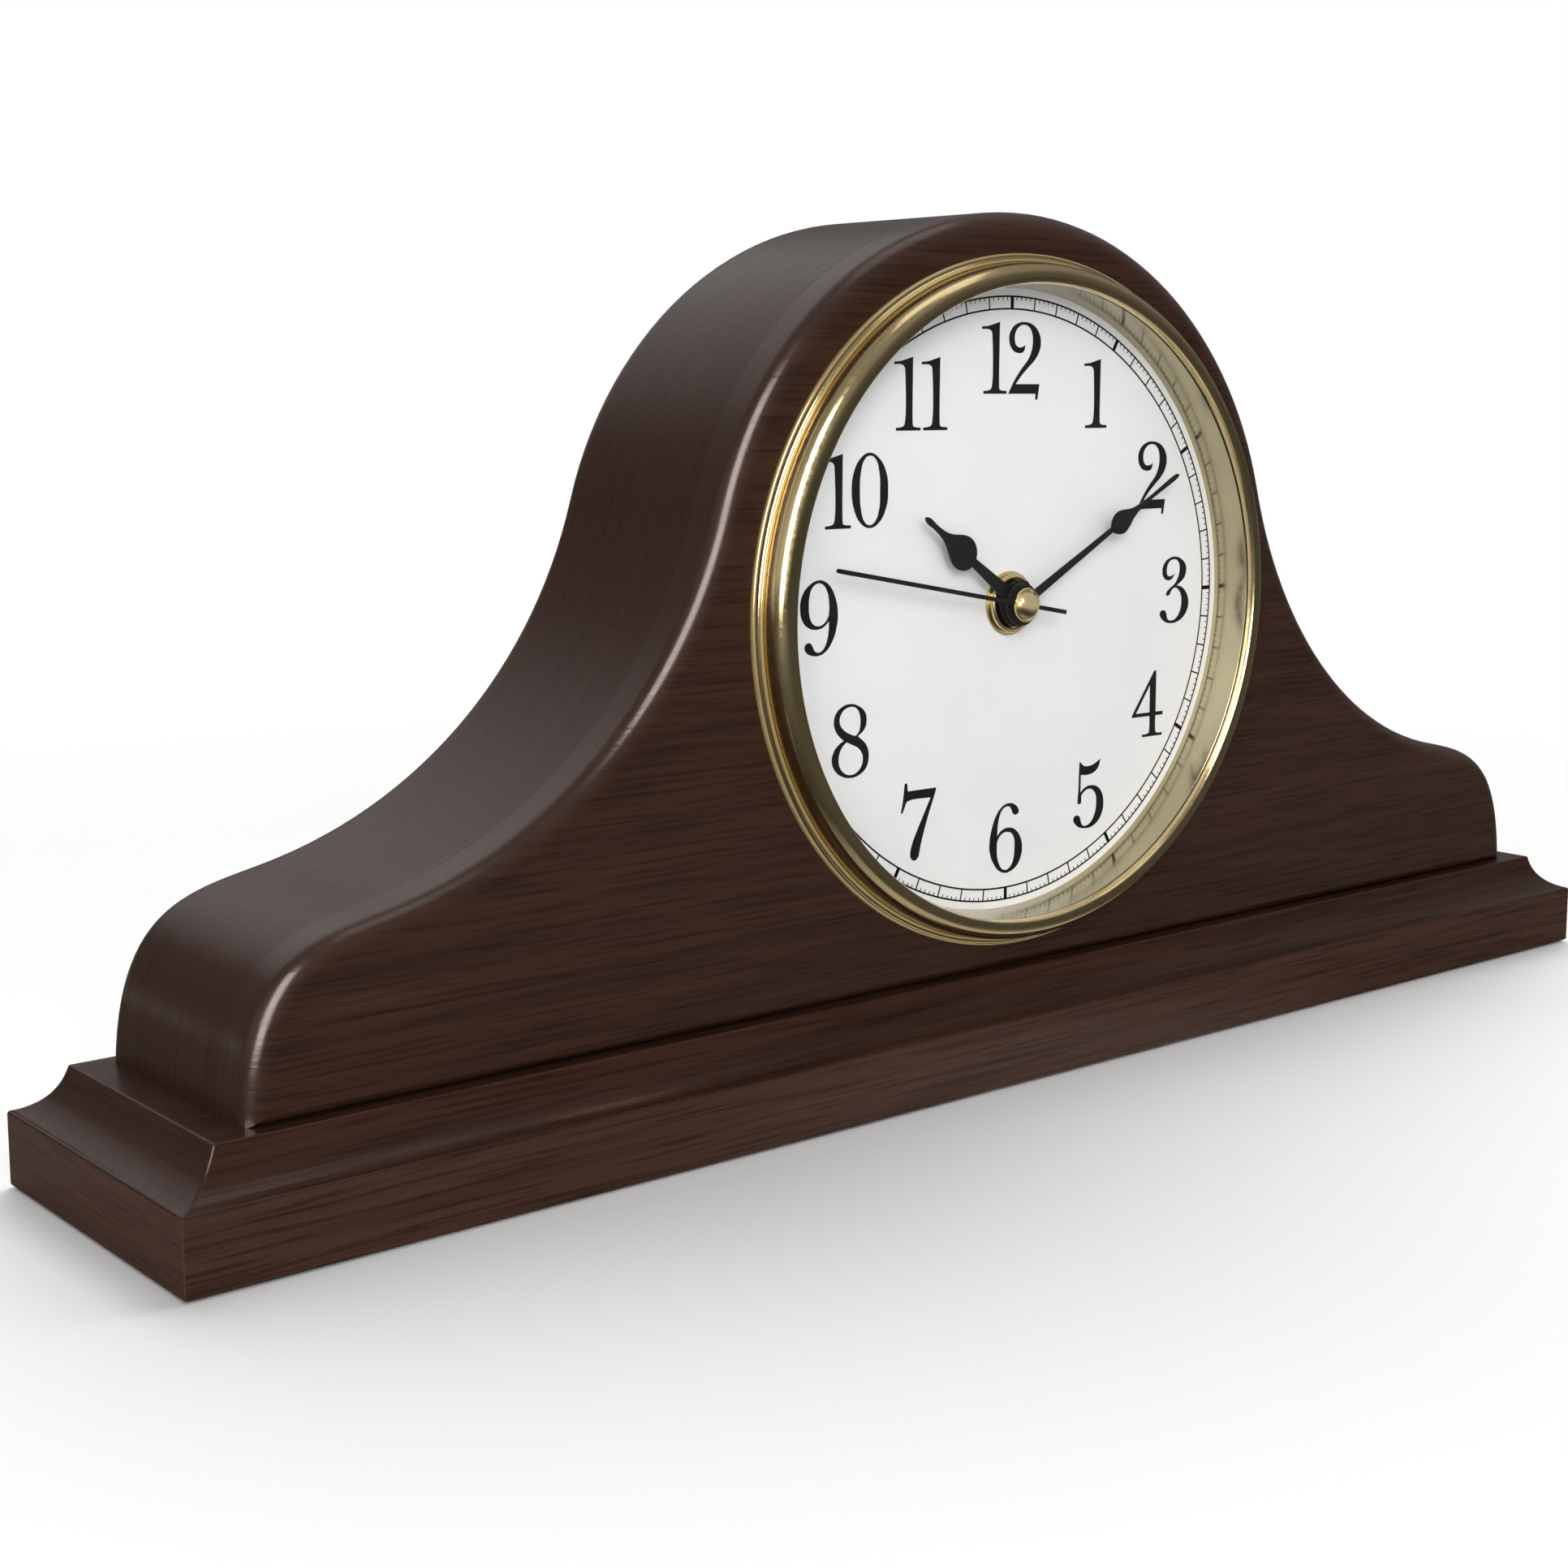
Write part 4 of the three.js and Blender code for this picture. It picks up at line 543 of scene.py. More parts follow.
def coat(shader, colour, relief, strength, height, dullness=None):
    """Gives a shader its colour, its relief and, where it changes, its dullness."""
    made = add_node(shader.id_data, "ShaderNodeBump", {"Strength": strength, "Distance": height})
    wire(relief, made.inputs["Height"])
    wire(made.outputs["Normal"], shader.inputs["Normal"])
    wire(colour, shader.inputs["Base Color"])
    if dullness is not None:
        wire(dullness, shader.inputs["Roughness"])


def by_axis(quick, across, along):
    """A scale for each axis: the grain changes quickly along the ones that are named."""
    return [across if axis in quick else along for axis in "XYZ"]


def wood_colours(tree, quick, grain_colours, pore):
    """The figure's colour with its pores, and the pores by themselves."""
    figure = pattern(tree, by_axis(quick, ACROSS_GRAIN, ALONG_GRAIN), 5, 0.6, 0.5)
    pores = pattern(tree, by_axis(quick, ACROSS_PORES, ALONG_PORES), 2, 0.5)
    colour = ramp(figure, *zip(FIGURE_STOPS, grain_colours))
    holes = ramp(pores, *zip(PORE_STOPS, (pore, NO_PORE)))
    return mixed(colour, holes, mode="MULTIPLY"), pores


def stained_wood(name, gloss, grain, plain_colours=PLAIN_STAIN, figured_colours=FIGURED_STAIN):
    """Dark stained hardwood under satin lacquer, with figure on some faces and plain on the others."""
    plain_quick, figured_quick, facing, figured_share = grain
    material, shader = new_finish(name, specular_ior_level=gloss, specular_tint=WARM_GLOSS)
    tree = material.node_tree
    plain, plain_pores = wood_colours(tree, plain_quick, plain_colours, PLAIN_PORE)
    figured, figured_pores = wood_colours(tree, figured_quick, figured_colours, FIGURED_PORE)
    size = add_node(tree, "ShaderNodeMath", operation="ABSOLUTE")
    wire(parts_of(coordinates(tree, "Normal"))[facing], size.inputs[0])
    share = spread(size.outputs["Value"], *figured_share, *FACING_RANGE)
    pores = mixed(plain_pores, figured_pores, share, "FLOAT")
    dullness = spread(pores, *LACQUER_DULLNESS)
    coat(shader, mixed(plain, figured, share), pores, PORE_RELIEF, PORE_DEPTH, dullness)
    return material


def plain_wood(name, quick, dark, light, dull):
    """Unfinished wood inside the case, or fibreboard."""
    material, shader = new_finish(name, specular_ior_level=0.3)
    tree = material.node_tree
    figure = pattern(tree, by_axis(quick, ACROSS_FIBRES, ALONG_FIBRES), 5, 0.65, 0.4)
    fibres = pattern(tree, by_axis(quick, 4 * ACROSS_FIBRES, 4 * ALONG_FIBRES))
    dullness = spread(fibres, dull - 0.1, dull + 0.1)
    coat(shader, two_tones(figure, dark, light), fibres, PORE_RELIEF, FIBRE_DEPTH, dullness)
    return material


def metal(name, dark, light, dull, relief=0.03):
    """Metal with fine lathe or rolling marks in its shine."""
    material, shader = new_finish(name, metallic=1.0)
    tarnish = pattern(material.node_tree, 45, 4)
    marks = pattern(material.node_tree, 900, 2)
    dullness = spread(marks, dull, dull + 0.08)
    coat(shader, two_tones(tarnish, dark, light), marks, relief, 0.02 * MM, dullness)
    return material


def paint(name, dark, light, least_dull, most_dull, grain=700, depth=0.03 * MM, **settings):
    """Enamel, ink, plastic, rubber or satin gilding: a slight change of tone and a fine texture."""
    material, shader = new_finish(name, **settings)
    tone = pattern(material.node_tree, 38, 4)
    texture = pattern(material.node_tree, grain)
    dullness = spread(texture, least_dull, most_dull)
    coat(shader, two_tones(tone, dark, light), texture, 0.15, depth, dullness)
    return material


def felt_finish():
    """Pressed felt with short fibres."""
    material, shader = new_finish("felt", sheen_weight=0.5, specular_ior_level=0.1, roughness=0.95)
    fibres = pattern(material.node_tree, 2600, 5, 0.7, 1.5)
    coat(shader, two_tones(fibres, (30, 29, 28), (66, 63, 60)), fibres, 0.8, 0.3 * MM)
    return material


def glass_finish():
    """Clear glass that lets the lamps reach the dial."""
    material, shader = new_finish("clear_glass", transmission_weight=1.0, ior=1.1)
    tree = material.node_tree
    smears = pattern(tree, 14, 2)
    wire(spread(smears, 0.0, 0.015), shader.inputs["Roughness"])
    shadow = add_node(tree, "ShaderNodeLightPath").outputs["Is Shadow Ray"]
    clear = add_node(tree, "ShaderNodeBsdfTransparent")
    mix_shaders(shadow, shader.outputs["BSDF"], clear.outputs["BSDF"], tree.nodes["Material Output"])
    return material


def winding_finish():
    """Enamelled copper wire laid turn by turn along the bobbin."""
    material, shader = new_finish("copper", metallic=0.9, roughness=0.35)
    turns = add_node(
        material.node_tree, "ShaderNodeTexWave", {"Scale": 700.0, "Distortion": 0.4},
        wave_type="BANDS", bands_direction="X")
    wire(coordinates(material.node_tree), turns.inputs["Vector"])
    wires = turns.outputs["Fac"]
    coat(shader, ramp(wires, (0.0, (84, 40, 20)), (0.7, (190, 104, 58))), wires, 0.6, 0.08 * MM)
    return material


# The quick axes of plain and figured grain, the axis that tells their faces apart and the share of figure
CASE_GRAIN = ("Y", "Z", "Y", (0.0, 1.0))
PLINTH_GRAIN = ("XZ", "YZ", "X", (1.0, 0.0))

FRONT_WOOD = stained_wood("stained_front", 0.5, CASE_GRAIN)
HOOD_WOOD = stained_wood("stained_hood", 0.3, CASE_GRAIN)
PLINTH_WOOD = stained_wood("stained_plinth", 0.24, PLINTH_GRAIN)
# The band's wood is a lighter copy of the plinth's, as painted light on the band.
BAND_WOOD_PAINTED_LIGHT = stained_wood("band_painted_light", 0.24, PLINTH_GRAIN, PLAIN_BAND_PAINTED_LIGHT, FIGURED_BAND_PAINTED_LIGHT)
RAW_WOOD = plain_wood("raw_wood", "XZ", (168, 128, 88), (204, 166, 120), 0.7)
BACK_BOARD = plain_wood("back_board", "XYZ", (38, 29, 25), (58, 45, 38), 0.62)
GOLD = metal("gold", (208, 186, 138), (216, 194, 146), 0.13, 0.002)
BEAD_GOLD = paint("bead_gold", (214, 190, 134), (220, 196, 140), 0.16, 0.2, 300, 0.0, metallic=0.55)
MIRROR_GOLD = metal("mirror_gold", (176, 166, 134), (184, 174, 142), 0.15, 0.002)
BRASS = metal("brass", (186, 150, 84), (214, 180, 108), 0.24)
STEEL = metal("steel", (150, 150, 152), (188, 188, 190), 0.26)
WHITE_ENAMEL = paint("white_enamel", (235, 235, 237), (240, 240, 241), 0.42, 0.52)
BLACK_ENAMEL = paint("black_enamel", (20, 19, 18), (30, 29, 27), 0.36, 0.5, specular_ior_level=0.12)
DIAL_BACK = paint("dial_back", (170, 170, 168), (182, 182, 180), 0.4, 0.5, metallic=0.3)
PRINT = paint("dial_print", (18, 18, 20), (26, 26, 28), 0.6, 0.7, specular_ior_level=0.1)
BLACK_PLASTIC = paint("black_plastic", (24, 24, 25), (36, 36, 38), 0.42, 0.6, 1500, 0.08 * MM)
WHITE_PLASTIC = paint("white_plastic", (222, 221, 214), (236, 235, 229), 0.4, 0.5)
RUBBER = paint("rubber", (26, 26, 26), (40, 40, 40), 0.75, 0.9, 1200, 0.1 * MM)
CIRCUIT_GREEN = paint("circuit_green", (16, 60, 36), (28, 92, 54), 0.3, 0.4, 420, 0.04 * MM)
CELL_JACKET = paint("cell_jacket", (34, 36, 40), (48, 50, 54), 0.25, 0.34)
CELL_BAND = paint("cell_band", (178, 122, 66), (200, 142, 80), 0.25, 0.34, metallic=0.7)
FELT = felt_finish()
GLASS = glass_finish()
COPPER = winding_finish()


# Plinth

def make_plinth():
    """A band with a cove rising to the deck on all four sides, with wells for the screws and the pads."""
    half_length = PLINTH_HIGH[0]
    half_depth = PLINTH_HIGH[1]
    band_top = PLINTH_LOW[2] + BAND
    plinth = block(
        "plinth", (-half_length, -half_depth, PLINTH_LOW[2]), (half_length, half_depth, band_top))
    pick(plinth, "FACE", lambda face: face.normal.z > 0.9)

    def cove(half, inset, share):
        # The curve bends below the straight line from the band to the deck.
        start = Vector((half, band_top))
        end = Vector((half - inset, DECK))
        run = (end - start).normalized()
        pull = (start + end) / 2 + Vector((-run.y, run.x)) * 2 * COVE_SAG
        return start * (1 - share) ** 2 + pull * 2 * share * (1 - share) + end * share ** 2

    before = (half_length, half_depth, band_top)
    for step in range(1, COVE_STEPS + 1):
        share = step / COVE_STEPS
        across, height = cove(half_length, COVE_AT_ENDS, share)
        depth = cove(half_depth, COVE_AT_FRONT, share)[0]
        bpy.ops.mesh.extrude_region_move(
            TRANSFORM_OT_translate={"value": (0, 0, height - before[2])})
        bpy.ops.transform.resize(
            value=(across / before[0], depth / before[1], 1), center_override=(0, 0, height))
        before = (across, depth, height)
    deselect()
    ease_edges(plinth, ARRIS, 3, 25)
    for side in ("left", "right"):
        for end in ("front", "rear"):
            place = under(f"base_screw_{side}_{end}")
            cut(plinth, rod("screw_well", SCREW_WELL, -MM, SCREW_WELL_DEPTH, place, "Z", 48))
    for number in range(1, 5):
        node = f"felt_pad_{number}"
        cut(plinth, rod("pad_pocket", PAD_POCKET, -MM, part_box(node)[1][2], under(node), "Z", 64))
    dress(smooth(plinth, 24, weighted=True), PLINTH_WOOD, "dark_wood", "base_plinth")
    # The band's upright faces take the lighter copy of the wood: painted light on the band.
    also_finish(
        plinth, BAND_WOOD_PAINTED_LIGHT, lambda face: face.center.z < band_top and abs(face.normal.z) < 0.3)


def make_felt_pads():
    """One pad with a soft rim, copied to its four places."""
    low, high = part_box("felt_pad_1")
    radius = (high[0] - low[0]) / 2
    top = high[2]
    rim = 0.45 * MM
    pad = turned("felt_pad", [
        (0, 0, CORNER), (radius - rim, 0, CORNER), (radius - rim * 0.3, rim * 0.3),
        (radius, rim), (radius, top - rim * 0.4), (radius - rim * 0.4, top, CORNER), (0, top, CORNER),
    ], (0, 0, 0), 64, 3, "Z", closed=False)
    smooth(pad, 50)
    for number in range(1, 5):
        node = f"felt_pad_{number}"
        copy = copy_of(pad, f"felt_pad_under_{number}")
        copy.location = under(node)
        dress(put_down(copy), FELT, "felt", node)
    throw_away(pad)


# Case

def heading(angle):
    """The direction at an angle in degrees."""
    return Vector((math.cos(math.radians(angle)), math.sin(math.radians(angle))))


def arc(centre, radius, start, end):
    """A bezier stretch along a circle, between two angles in degrees."""
    reach = 4 / 3 * math.tan(math.radians(end - start) / 4) * radius
    first = centre + radius * heading(start)
    last = centre + radius * heading(end)
    return [first, first + reach * heading(start).orthogonal(),
            last - reach * heading(end).orthogonal(), last]


def straight(start, end):
    """A bezier stretch along a straight line."""
    return [start, start.lerp(end, 1 / 3), start.lerp(end, 2 / 3), end]


def case_outline():
    """The stretches of the case's outline, right half first, closed below the deck."""
    hands = Vector((0, HAND_HEIGHT))
    foot = Vector((CASE_HALF, DECK))
    neck_end = foot + Vector((-SHOULDER_REACH, SHOULDER_RISE))
    up_the_end = heading(END_LEAN).orthogonal()
    outwards = heading(NECK_START_ANGLE)
    neck_start = hands + TOP_RADIUS * outwards
    across = neck_end - neck_start
    neck_radius = across.length_squared / (2 * across.dot(outwards))
    neck_centre = neck_start + neck_radius * outwards
    from_centre = neck_end - neck_centre
    end_angle = math.degrees(math.atan2(from_centre.y, from_centre.x)) + 360
    slope = Vector((-from_centre.y, from_centre.x)).normalized()
    below = foot - up_the_end * BELOW_DECK
    right = [
        arc(hands, TOP_RADIUS, 90, NECK_START_ANGLE),
        arc(neck_centre, neck_radius, 180 + NECK_START_ANGLE, end_angle),
        [neck_end, neck_end + slope * SHOULDER_SLOPE_PULL, foot + up_the_end * SHOULDER_END_PULL, foot],
        straight(foot, below),
    ]
    mirrored = [
        [Vector((-point.x, point.y)) for point in reversed(stretch)] for stretch in reversed(right)]
    return right + [straight(below, Vector((-below.x, below.y)))] + mirrored


def case_slab(name, front, rear, inset=0.0):
    """A slab of the case's outline, drawn in by a set distance."""
    drawing = start_sheet(name, front, rear, 28, -inset)
    stretches = case_outline()
    line = drawing.data.splines.new("BEZIER")
    line.bezier_points.add(len(stretches) - 1)
    for number, knot in enumerate(line.bezier_points):
        knot.handle_left_type = "FREE"
        knot.handle_right_type = "FREE"
        knot.co = (*stretches[number][0], 0)
        knot.handle_right = (*stretches[number][1], 0)
        knot.handle_left = (*stretches[number - 1][2], 0)
    line.use_cyclic_u = True
    slab = stand_up(to_mesh(drawing), front, rear)
    work_on(slab)
    bpy.ops.mesh.dissolve_limited(angle_limit=math.radians(0.1))
    deselect()
    return slab


def round_over(slab, depth):
    """Rounds the outer edge of a slab on its face at one depth."""
    def on_face(edge):
        return all(abs(corner.co.y - depth) < 10 * WELD for corner in edge.verts)
    pick(slab, "EDGE", on_face)
    bpy.ops.mesh.bevel(offset=ROUNDOVER, segments=8, profile=0.5, affect="EDGES")
    deselect()


def stand_on(slab, height):
    """Cuts a slab off flat at a height."""
    work_on(slab)
    bpy.ops.mesh.bisect(plane_co=(0, 0, height), plane_no=(0, 0, 1), use_fill=True, clear_inner=True)
    deselect()


def round_foot(board):
    """Rounds the front board's lower edge, above the deck."""
    reach = CASE_HALF + 5 * MM
    inside = CASE_FRONT + FOOT_ROUND
    top = DECK + FOOT_ROUND
    waste = block("foot_waste", (-reach, CASE_FRONT - MM, DECK - MM), (reach, inside, top))
    # The rod is a hair larger, so that no edge of the waste lies in a face of the board.
    radius = FOOT_ROUND + FOOT_CLEARANCE
    cut(waste, rod("foot_round", radius, -reach - MM, reach + MM, (0, inside, top), "X", 64))
    cut(board, waste)


def make_case():
    """Front board, hood and back panel from the one outline."""
    board = case_slab("front_board", CASE_FRONT, BOARD_REAR)
    round_over(board, CASE_FRONT)
    stand_on(board, DECK)
    round_foot(board)
    cut(board, rod("bezel_bore", BEZEL_BORE, CASE_FRONT - MM, BOARD_REAR + MM, HAND_AXIS))
    dress(smooth(board, 30, weighted=True), FRONT_WOOD, "dark_wood", "case_front_board")

    hood = case_slab("hood", BOARD_REAR, CASE_REAR)
    round_over(hood, CASE_REAR)
    stand_on(hood, DECK)
    panel_front = PANEL_LOW[1]
    panel_rear = PANEL_HIGH[1]
    cut(hood, case_slab("hood_hollow", BOARD_REAR - MM, CASE_REAR + MM, HOOD_WALL))
    cut(hood, case_slab("hood_rebate", panel_front, CASE_REAR + MM, BACK_REBATE))
    dress(smooth(hood, 30, weighted=True), HOOD_WOOD, "dark_wood", "case_hood")

    panel = case_slab("rear_panel", panel_front, panel_rear, PANEL_INSET)
    stand_on(panel, PANEL_LOW[2])
    cut(panel, rod("access_hole", PANEL_OPENING, panel_front - MM, panel_rear + MM, HAND_AXIS))
    ease_edges(panel, ARRIS, 2, 50)
    dress(smooth(panel, 30, weighted=True), BACK_BOARD, "back_board", "back_panel")


# Dial insert

def make_bezel():
    """Turned bezel: two fine ridges, a broad round that rises to the lip, and a sleeve behind."""
    rim_radius = BEZEL_RADIUS - 0.3 * MM
    lip_radius = BEZEL_RADIUS - 6.3 * MM
    ledge_radius = lip_radius - 5 * MM
    ledge_rear = DIAL_REAR + 1.2 * MM
    sleeve_radius = lip_radius + 2 * MM
    sleeve_end = BEZEL_HIGH[1]
    rim = from_rim(rim_radius, CASE_FRONT)
    lip = from_rim(lip_radius, BEZEL_FRONT)
    sleeve = sharp([
        (lip_radius, DIAL_REAR), (ledge_radius, DIAL_REAR), (ledge_radius, ledge_rear),
        (lip_radius, ledge_rear), (lip_radius, sleeve_end), (sleeve_radius, sleeve_end),
        (sleeve_radius, CASE_FRONT), (rim_radius, CASE_FRONT),
    ])
    bezel = turned("bezel", sleeve + [
        rim(0, -0.5), rim(0.14, -0.9), rim(0.42, -1.02), rim(0.55, -0.98, CORNER),
        rim(0.95, -1.12), rim(1.2, -1.42, CORNER), rim(1.28, -1.8), rim(1.5, -2.02), rim(1.75, -2.0),
        rim(1.9, -1.85, CORNER), rim(1.98, -3.5), rim(2.24, -5.0), rim(2.8, -6.3),
        rim(3.65, -7.2, CORNER), rim(3.95, -7.42), rim(4.35, -7.57, CORNER),
        lip(-0.9, 0.02), lip(-0.1, 0), lip(0.3, 0.1), lip(0.52, 0.35),
        lip(0.95, 1.7, CORNER), lip(0.95, 1.75, CORNER), lip(0, 1.75, CORNER),
    ], HAND_AXIS, 192, 4)
    dress(smooth(bezel, 40), GOLD, "gold", "bezel_ring")

    def on_ridge(face):
        inwards = (rim_radius - math.hypot(face.center.x, face.center.z - HAND_HEIGHT)) / MM
        return (inwards < 0.5 or 1.22 < inwards < 1.8) and face.center.y < CASE_FRONT
    also_finish(bezel, BEAD_GOLD, on_ridge)


def make_glass_and_dial():
    """Lens with a ground edge, gilt reflector ring and enamelled dial with a bare metal back."""
    radius = LENS_HIGH[0]
    rear = LENS_HIGH[1]
    face = rear - LENS_THICKNESS
    edge = radius - GROUND_EDGE
    lens = turned("lens", sharp([
        (0, face), (edge, face), (radius, face + GROUND_EDGE),
        (radius, rear - GROUND_EDGE), (edge, rear), (0, rear),
    ]), HAND_AXIS, 160, 1, closed=False)
    dress(smooth(lens, 20), GLASS, "clear_glass", "lens_glass")

    low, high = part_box("reflector_ring")
    reflector = turned("dial_reflector", sharp([
        (radius - 1.1 * MM, high[1]), (radius, high[1]), (radius, low[1]),
        (radius - 0.45 * MM, low[1]), (radius - 0.6 * MM, low[1] + 0.15 * MM),
    ]), HAND_AXIS, 160, 1)
    dress(smooth(reflector, 40), MIRROR_GOLD, "gold", "reflector_ring")

    dial = turned("dial", sharp([
        (DIAL_HOLE, DIAL_FRONT), (edge, DIAL_FRONT), (radius, DIAL_FRONT + GROUND_EDGE),
        (radius, DIAL_REAR), (DIAL_HOLE, DIAL_REAR),
    ]), HAND_AXIS, 160, 1)
    dress(smooth(dial, 20), WHITE_ENAMEL, "white_enamel", "dial_plate")
    also_finish(dial, DIAL_BACK, lambda face: face.center.y > DIAL_FRONT + 2 * GROUND_EDGE)


# Printing on the dial, in shares of a numeral's height

NUMERAL_HEIGHT = 15.9 * MM
NUMERAL_CIRCLE = 54.5 * MM
SIDE_NUMERAL_CIRCLE = 56 * MM
NUMERAL_SHIFTS = {10: (1.4 * MM, -0.6 * MM)}
NUMERAL_SWELL = 0.13 * MM
DIGIT_SPACING = 0.03
INK = 0.04 * MM
INK_FRONT = DIAL_FRONT - INK
INK_REAR = DIAL_FRONT + INK / 2
C = CORNER

DIGITS = {
    "1": [[
        (0, .905, C), (0, .925, C), (.12, .935), (.2, .955), (.33, .99, C), (.325, .9, C), (.325, .1),
        (.335, .06), (.39, .04), (.47, .035, C), (.47, .01, C), (.035, .01, C), (.035, .035, C),
        (.11, .04), (.17, .06), (.2, .11), (.2, .8), (.19, .86), (.15, .895),
    ]],
    "2": [[
        (.33, .67, C), (.30, .60), (.2, .58), (.09, .625), (.025, .77), (.08, .91), (.19, .98), (.32, 1),
        (.5, .955), (.6, .86), (.64, .73), (.61, .6), (.54, .5), (.4, .38), (.27, .27), (.14, .13, C),
        (.62, .13, C), (.60, .02), (.585, -.075, C), (.555, -.075, C), (.56, .01, C), (.025, .01, C),
        (.08, .1), (.16, .215), (.3, .375), (.4, .475), (.47, .6), (.495, .72), (.48, .85), (.42, .94),
        (.3, .975), (.2, .94), (.135, .86), (.12, .77), (.15, .68), (.21, .645), (.28, .65),
    ]],
    "3": [[
        (.30, .73, C), (.26, .68), (.18, .66), (.09, .695), (.05, .79), (.1, .92), (.2, .98), (.32, 1),
        (.48, .95), (.56, .87), (.575, .79), (.53, .68), (.45, .62), (.35, .56, C), (.47, .535),
        (.57, .46), (.64, .3), (.6, .16), (.5, .06), (.35, .005), (.25, 0), (.12, .03), (.03, .1),
        (.01, .14), (.03, .18), (.08, .195), (.13, .17), (.15, .12), (.17, .06), (.26, .025), (.36, .05),
        (.46, .16), (.495, .3), (.475, .43), (.41, .51), (.33, .54), (.25, .5), (.21, .44), (.18, .425),
        (.15, .43), (.15, .46), (.22, .52), (.3, .565), (.38, .64), (.44, .8), (.425, .9), (.37, .96),
        (.3, .975), (.2, .945), (.145, .87), (.135, .79), (.16, .72), (.22, .705), (.27, .715),
    ]],
    "4": [[
        (.49, 1, C), (.525, 1, C), (.525, .365, C), (.685, .365, C), (.685, .325, C), (.525, .325, C),
        (.525, .1), (.54, .055), (.6, .035), (.675, .035, C), (.675, .01, C), (.25, .01, C),
        (.25, .035, C), (.32, .035), (.39, .055), (.405, .1), (.405, .325, C), (.015, .325, C),
        (.015, .345, C),
    ], [(.08, .365, C), (.405, .365, C), (.405, .815, C)]],
    "5": [[
        (.125, 1, C), (.2, .94), (.3, .92), (.42, .94), (.5, .975), (.55, 1, C), (.53, .93), (.46, .85),
        (.36, .815), (.27, .805), (.14, .82, C), (.135, .52, C), (.2, .58), (.28, .615), (.36, .625),
        (.48, .6), (.58, .52), (.635, .35), (.6, .18), (.5, .06), (.35, 0), (.25, 0), (.13, .025),
        (.04, .09), (.01, .14), (.03, .185), (.08, .195), (.13, .17), (.15, .115), (.185, .045),
        (.27, .02), (.37, .06), (.46, .18), (.495, .34), (.47, .5), (.4, .57), (.33, .59), (.24, .57),
        (.155, .505, C), (.155, .41), (.15, .385), (.125, .38), (.1, .385), (.095, .41), (.11, .6),
        (.115, .85),
    ]],
    "6": [[
        (.38, 1.01), (.5, .985), (.575, .92), (.59, .88), (.56, .845), (.53, .84), (.485, .86),
        (.46, .91), (.42, .965), (.35, .98), (.26, .94), (.2, .84), (.165, .68), (.16, .525, C),
        (.22, .6), (.3, .64), (.4, .65), (.52, .61), (.62, .5), (.665, .35), (.64, .2), (.55, .07),
        (.42, .01), (.35, 0), (.22, .04), (.1, .17), (.03, .33), (.02, .46), (.06, .66), (.15, .86),
        (.26, .97),
    ], [
        (.36, .605), (.46, .57), (.52, .47), (.525, .36), (.515, .22), (.46, .09), (.36, .03), (.26, .06),
        (.19, .16), (.155, .3), (.155, .46, C), (.2, .54), (.27, .59),
    ]],
    "7": [[
        (.08, 1.1, C), (.11, 1.1, C), (.125, .985, C), (.655, .985, C), (.655, .96, C), (.62, .875),
        (.53, .66), (.44, .42), (.37, .2), (.345, .1), (.32, .03), (.26, 0), (.2, .04), (.19, .1),
        (.22, .22), (.31, .4), (.44, .63), (.575, .87, C), (.15, .865), (.1, .84), (.075, .79),
        (.03, .7, C), (.01, .7, C), (.04, .82),
    ]],
    "8": [[
        (.33, 1.005), (.47, .97), (.59, .88), (.62, .78), (.59, .66), (.5, .585), (.455, .56, C),
        (.52, .51), (.61, .43), (.655, .33), (.66, .25), (.62, .12), (.5, .03), (.34, 0), (.2, .03),
        (.08, .11), (.015, .24), (.05, .38), (.13, .46), (.235, .515, C), (.13, .6), (.07, .69),
        (.05, .78), (.09, .9), (.2, .98),
    ], [
        (.33, .98), (.22, .945), (.155, .87), (.135, .78), (.165, .71), (.23, .645), (.33, .59),
        (.43, .555, C), (.5, .62), (.525, .73), (.52, .82), (.48, .92), (.41, .97),
    ], [
        (.27, .5, C), (.36, .46), (.48, .4), (.55, .32), (.57, .25), (.54, .13), (.47, .06), (.35, .025),
        (.23, .06), (.15, .14), (.12, .24), (.14, .36), (.2, .45),
    ]],
    "9": [[
        (.33, 1), (.18, .945), (.06, .82), (.02, .65), (.06, .48), (.16, .385), (.3, .355), (.42, .385),
        (.5, .45), (.52, .47, C), (.515, .33), (.48, .17), (.41, .06), (.33, .03), (.26, .055),
        (.22, .12), (.19, .16), (.15, .17), (.11, .15), (.095, .11), (.13, .05), (.22, .01), (.3, 0),
        (.43, .035), (.56, .17), (.64, .37), (.66, .55), (.62, .75), (.52, .92), (.42, .985),
    ], [
        (.33, .975), (.42, .945), (.49, .85), (.52, .72), (.525, .6), (.515, .52, C), (.46, .44),
        (.4, .4), (.32, .385), (.23, .42), (.17, .52), (.155, .65), (.165, .79), (.22, .92),
    ]],
    "0": [[
        (.315, 1), (.47, .93), (.6, .74), (.635, .5), (.6, .26), (.47, .065), (.315, 0), (.16, .065),
        (.04, .26), (0, .5), (.035, .74), (.16, .935),
    ], [
        (.32, .975), (.42, .93), (.49, .75), (.505, .5), (.48, .2), (.41, .07), (.32, .025), (.22, .07),
        (.155, .22), (.13, .5), (.15, .76), (.22, .93),
    ]],
}


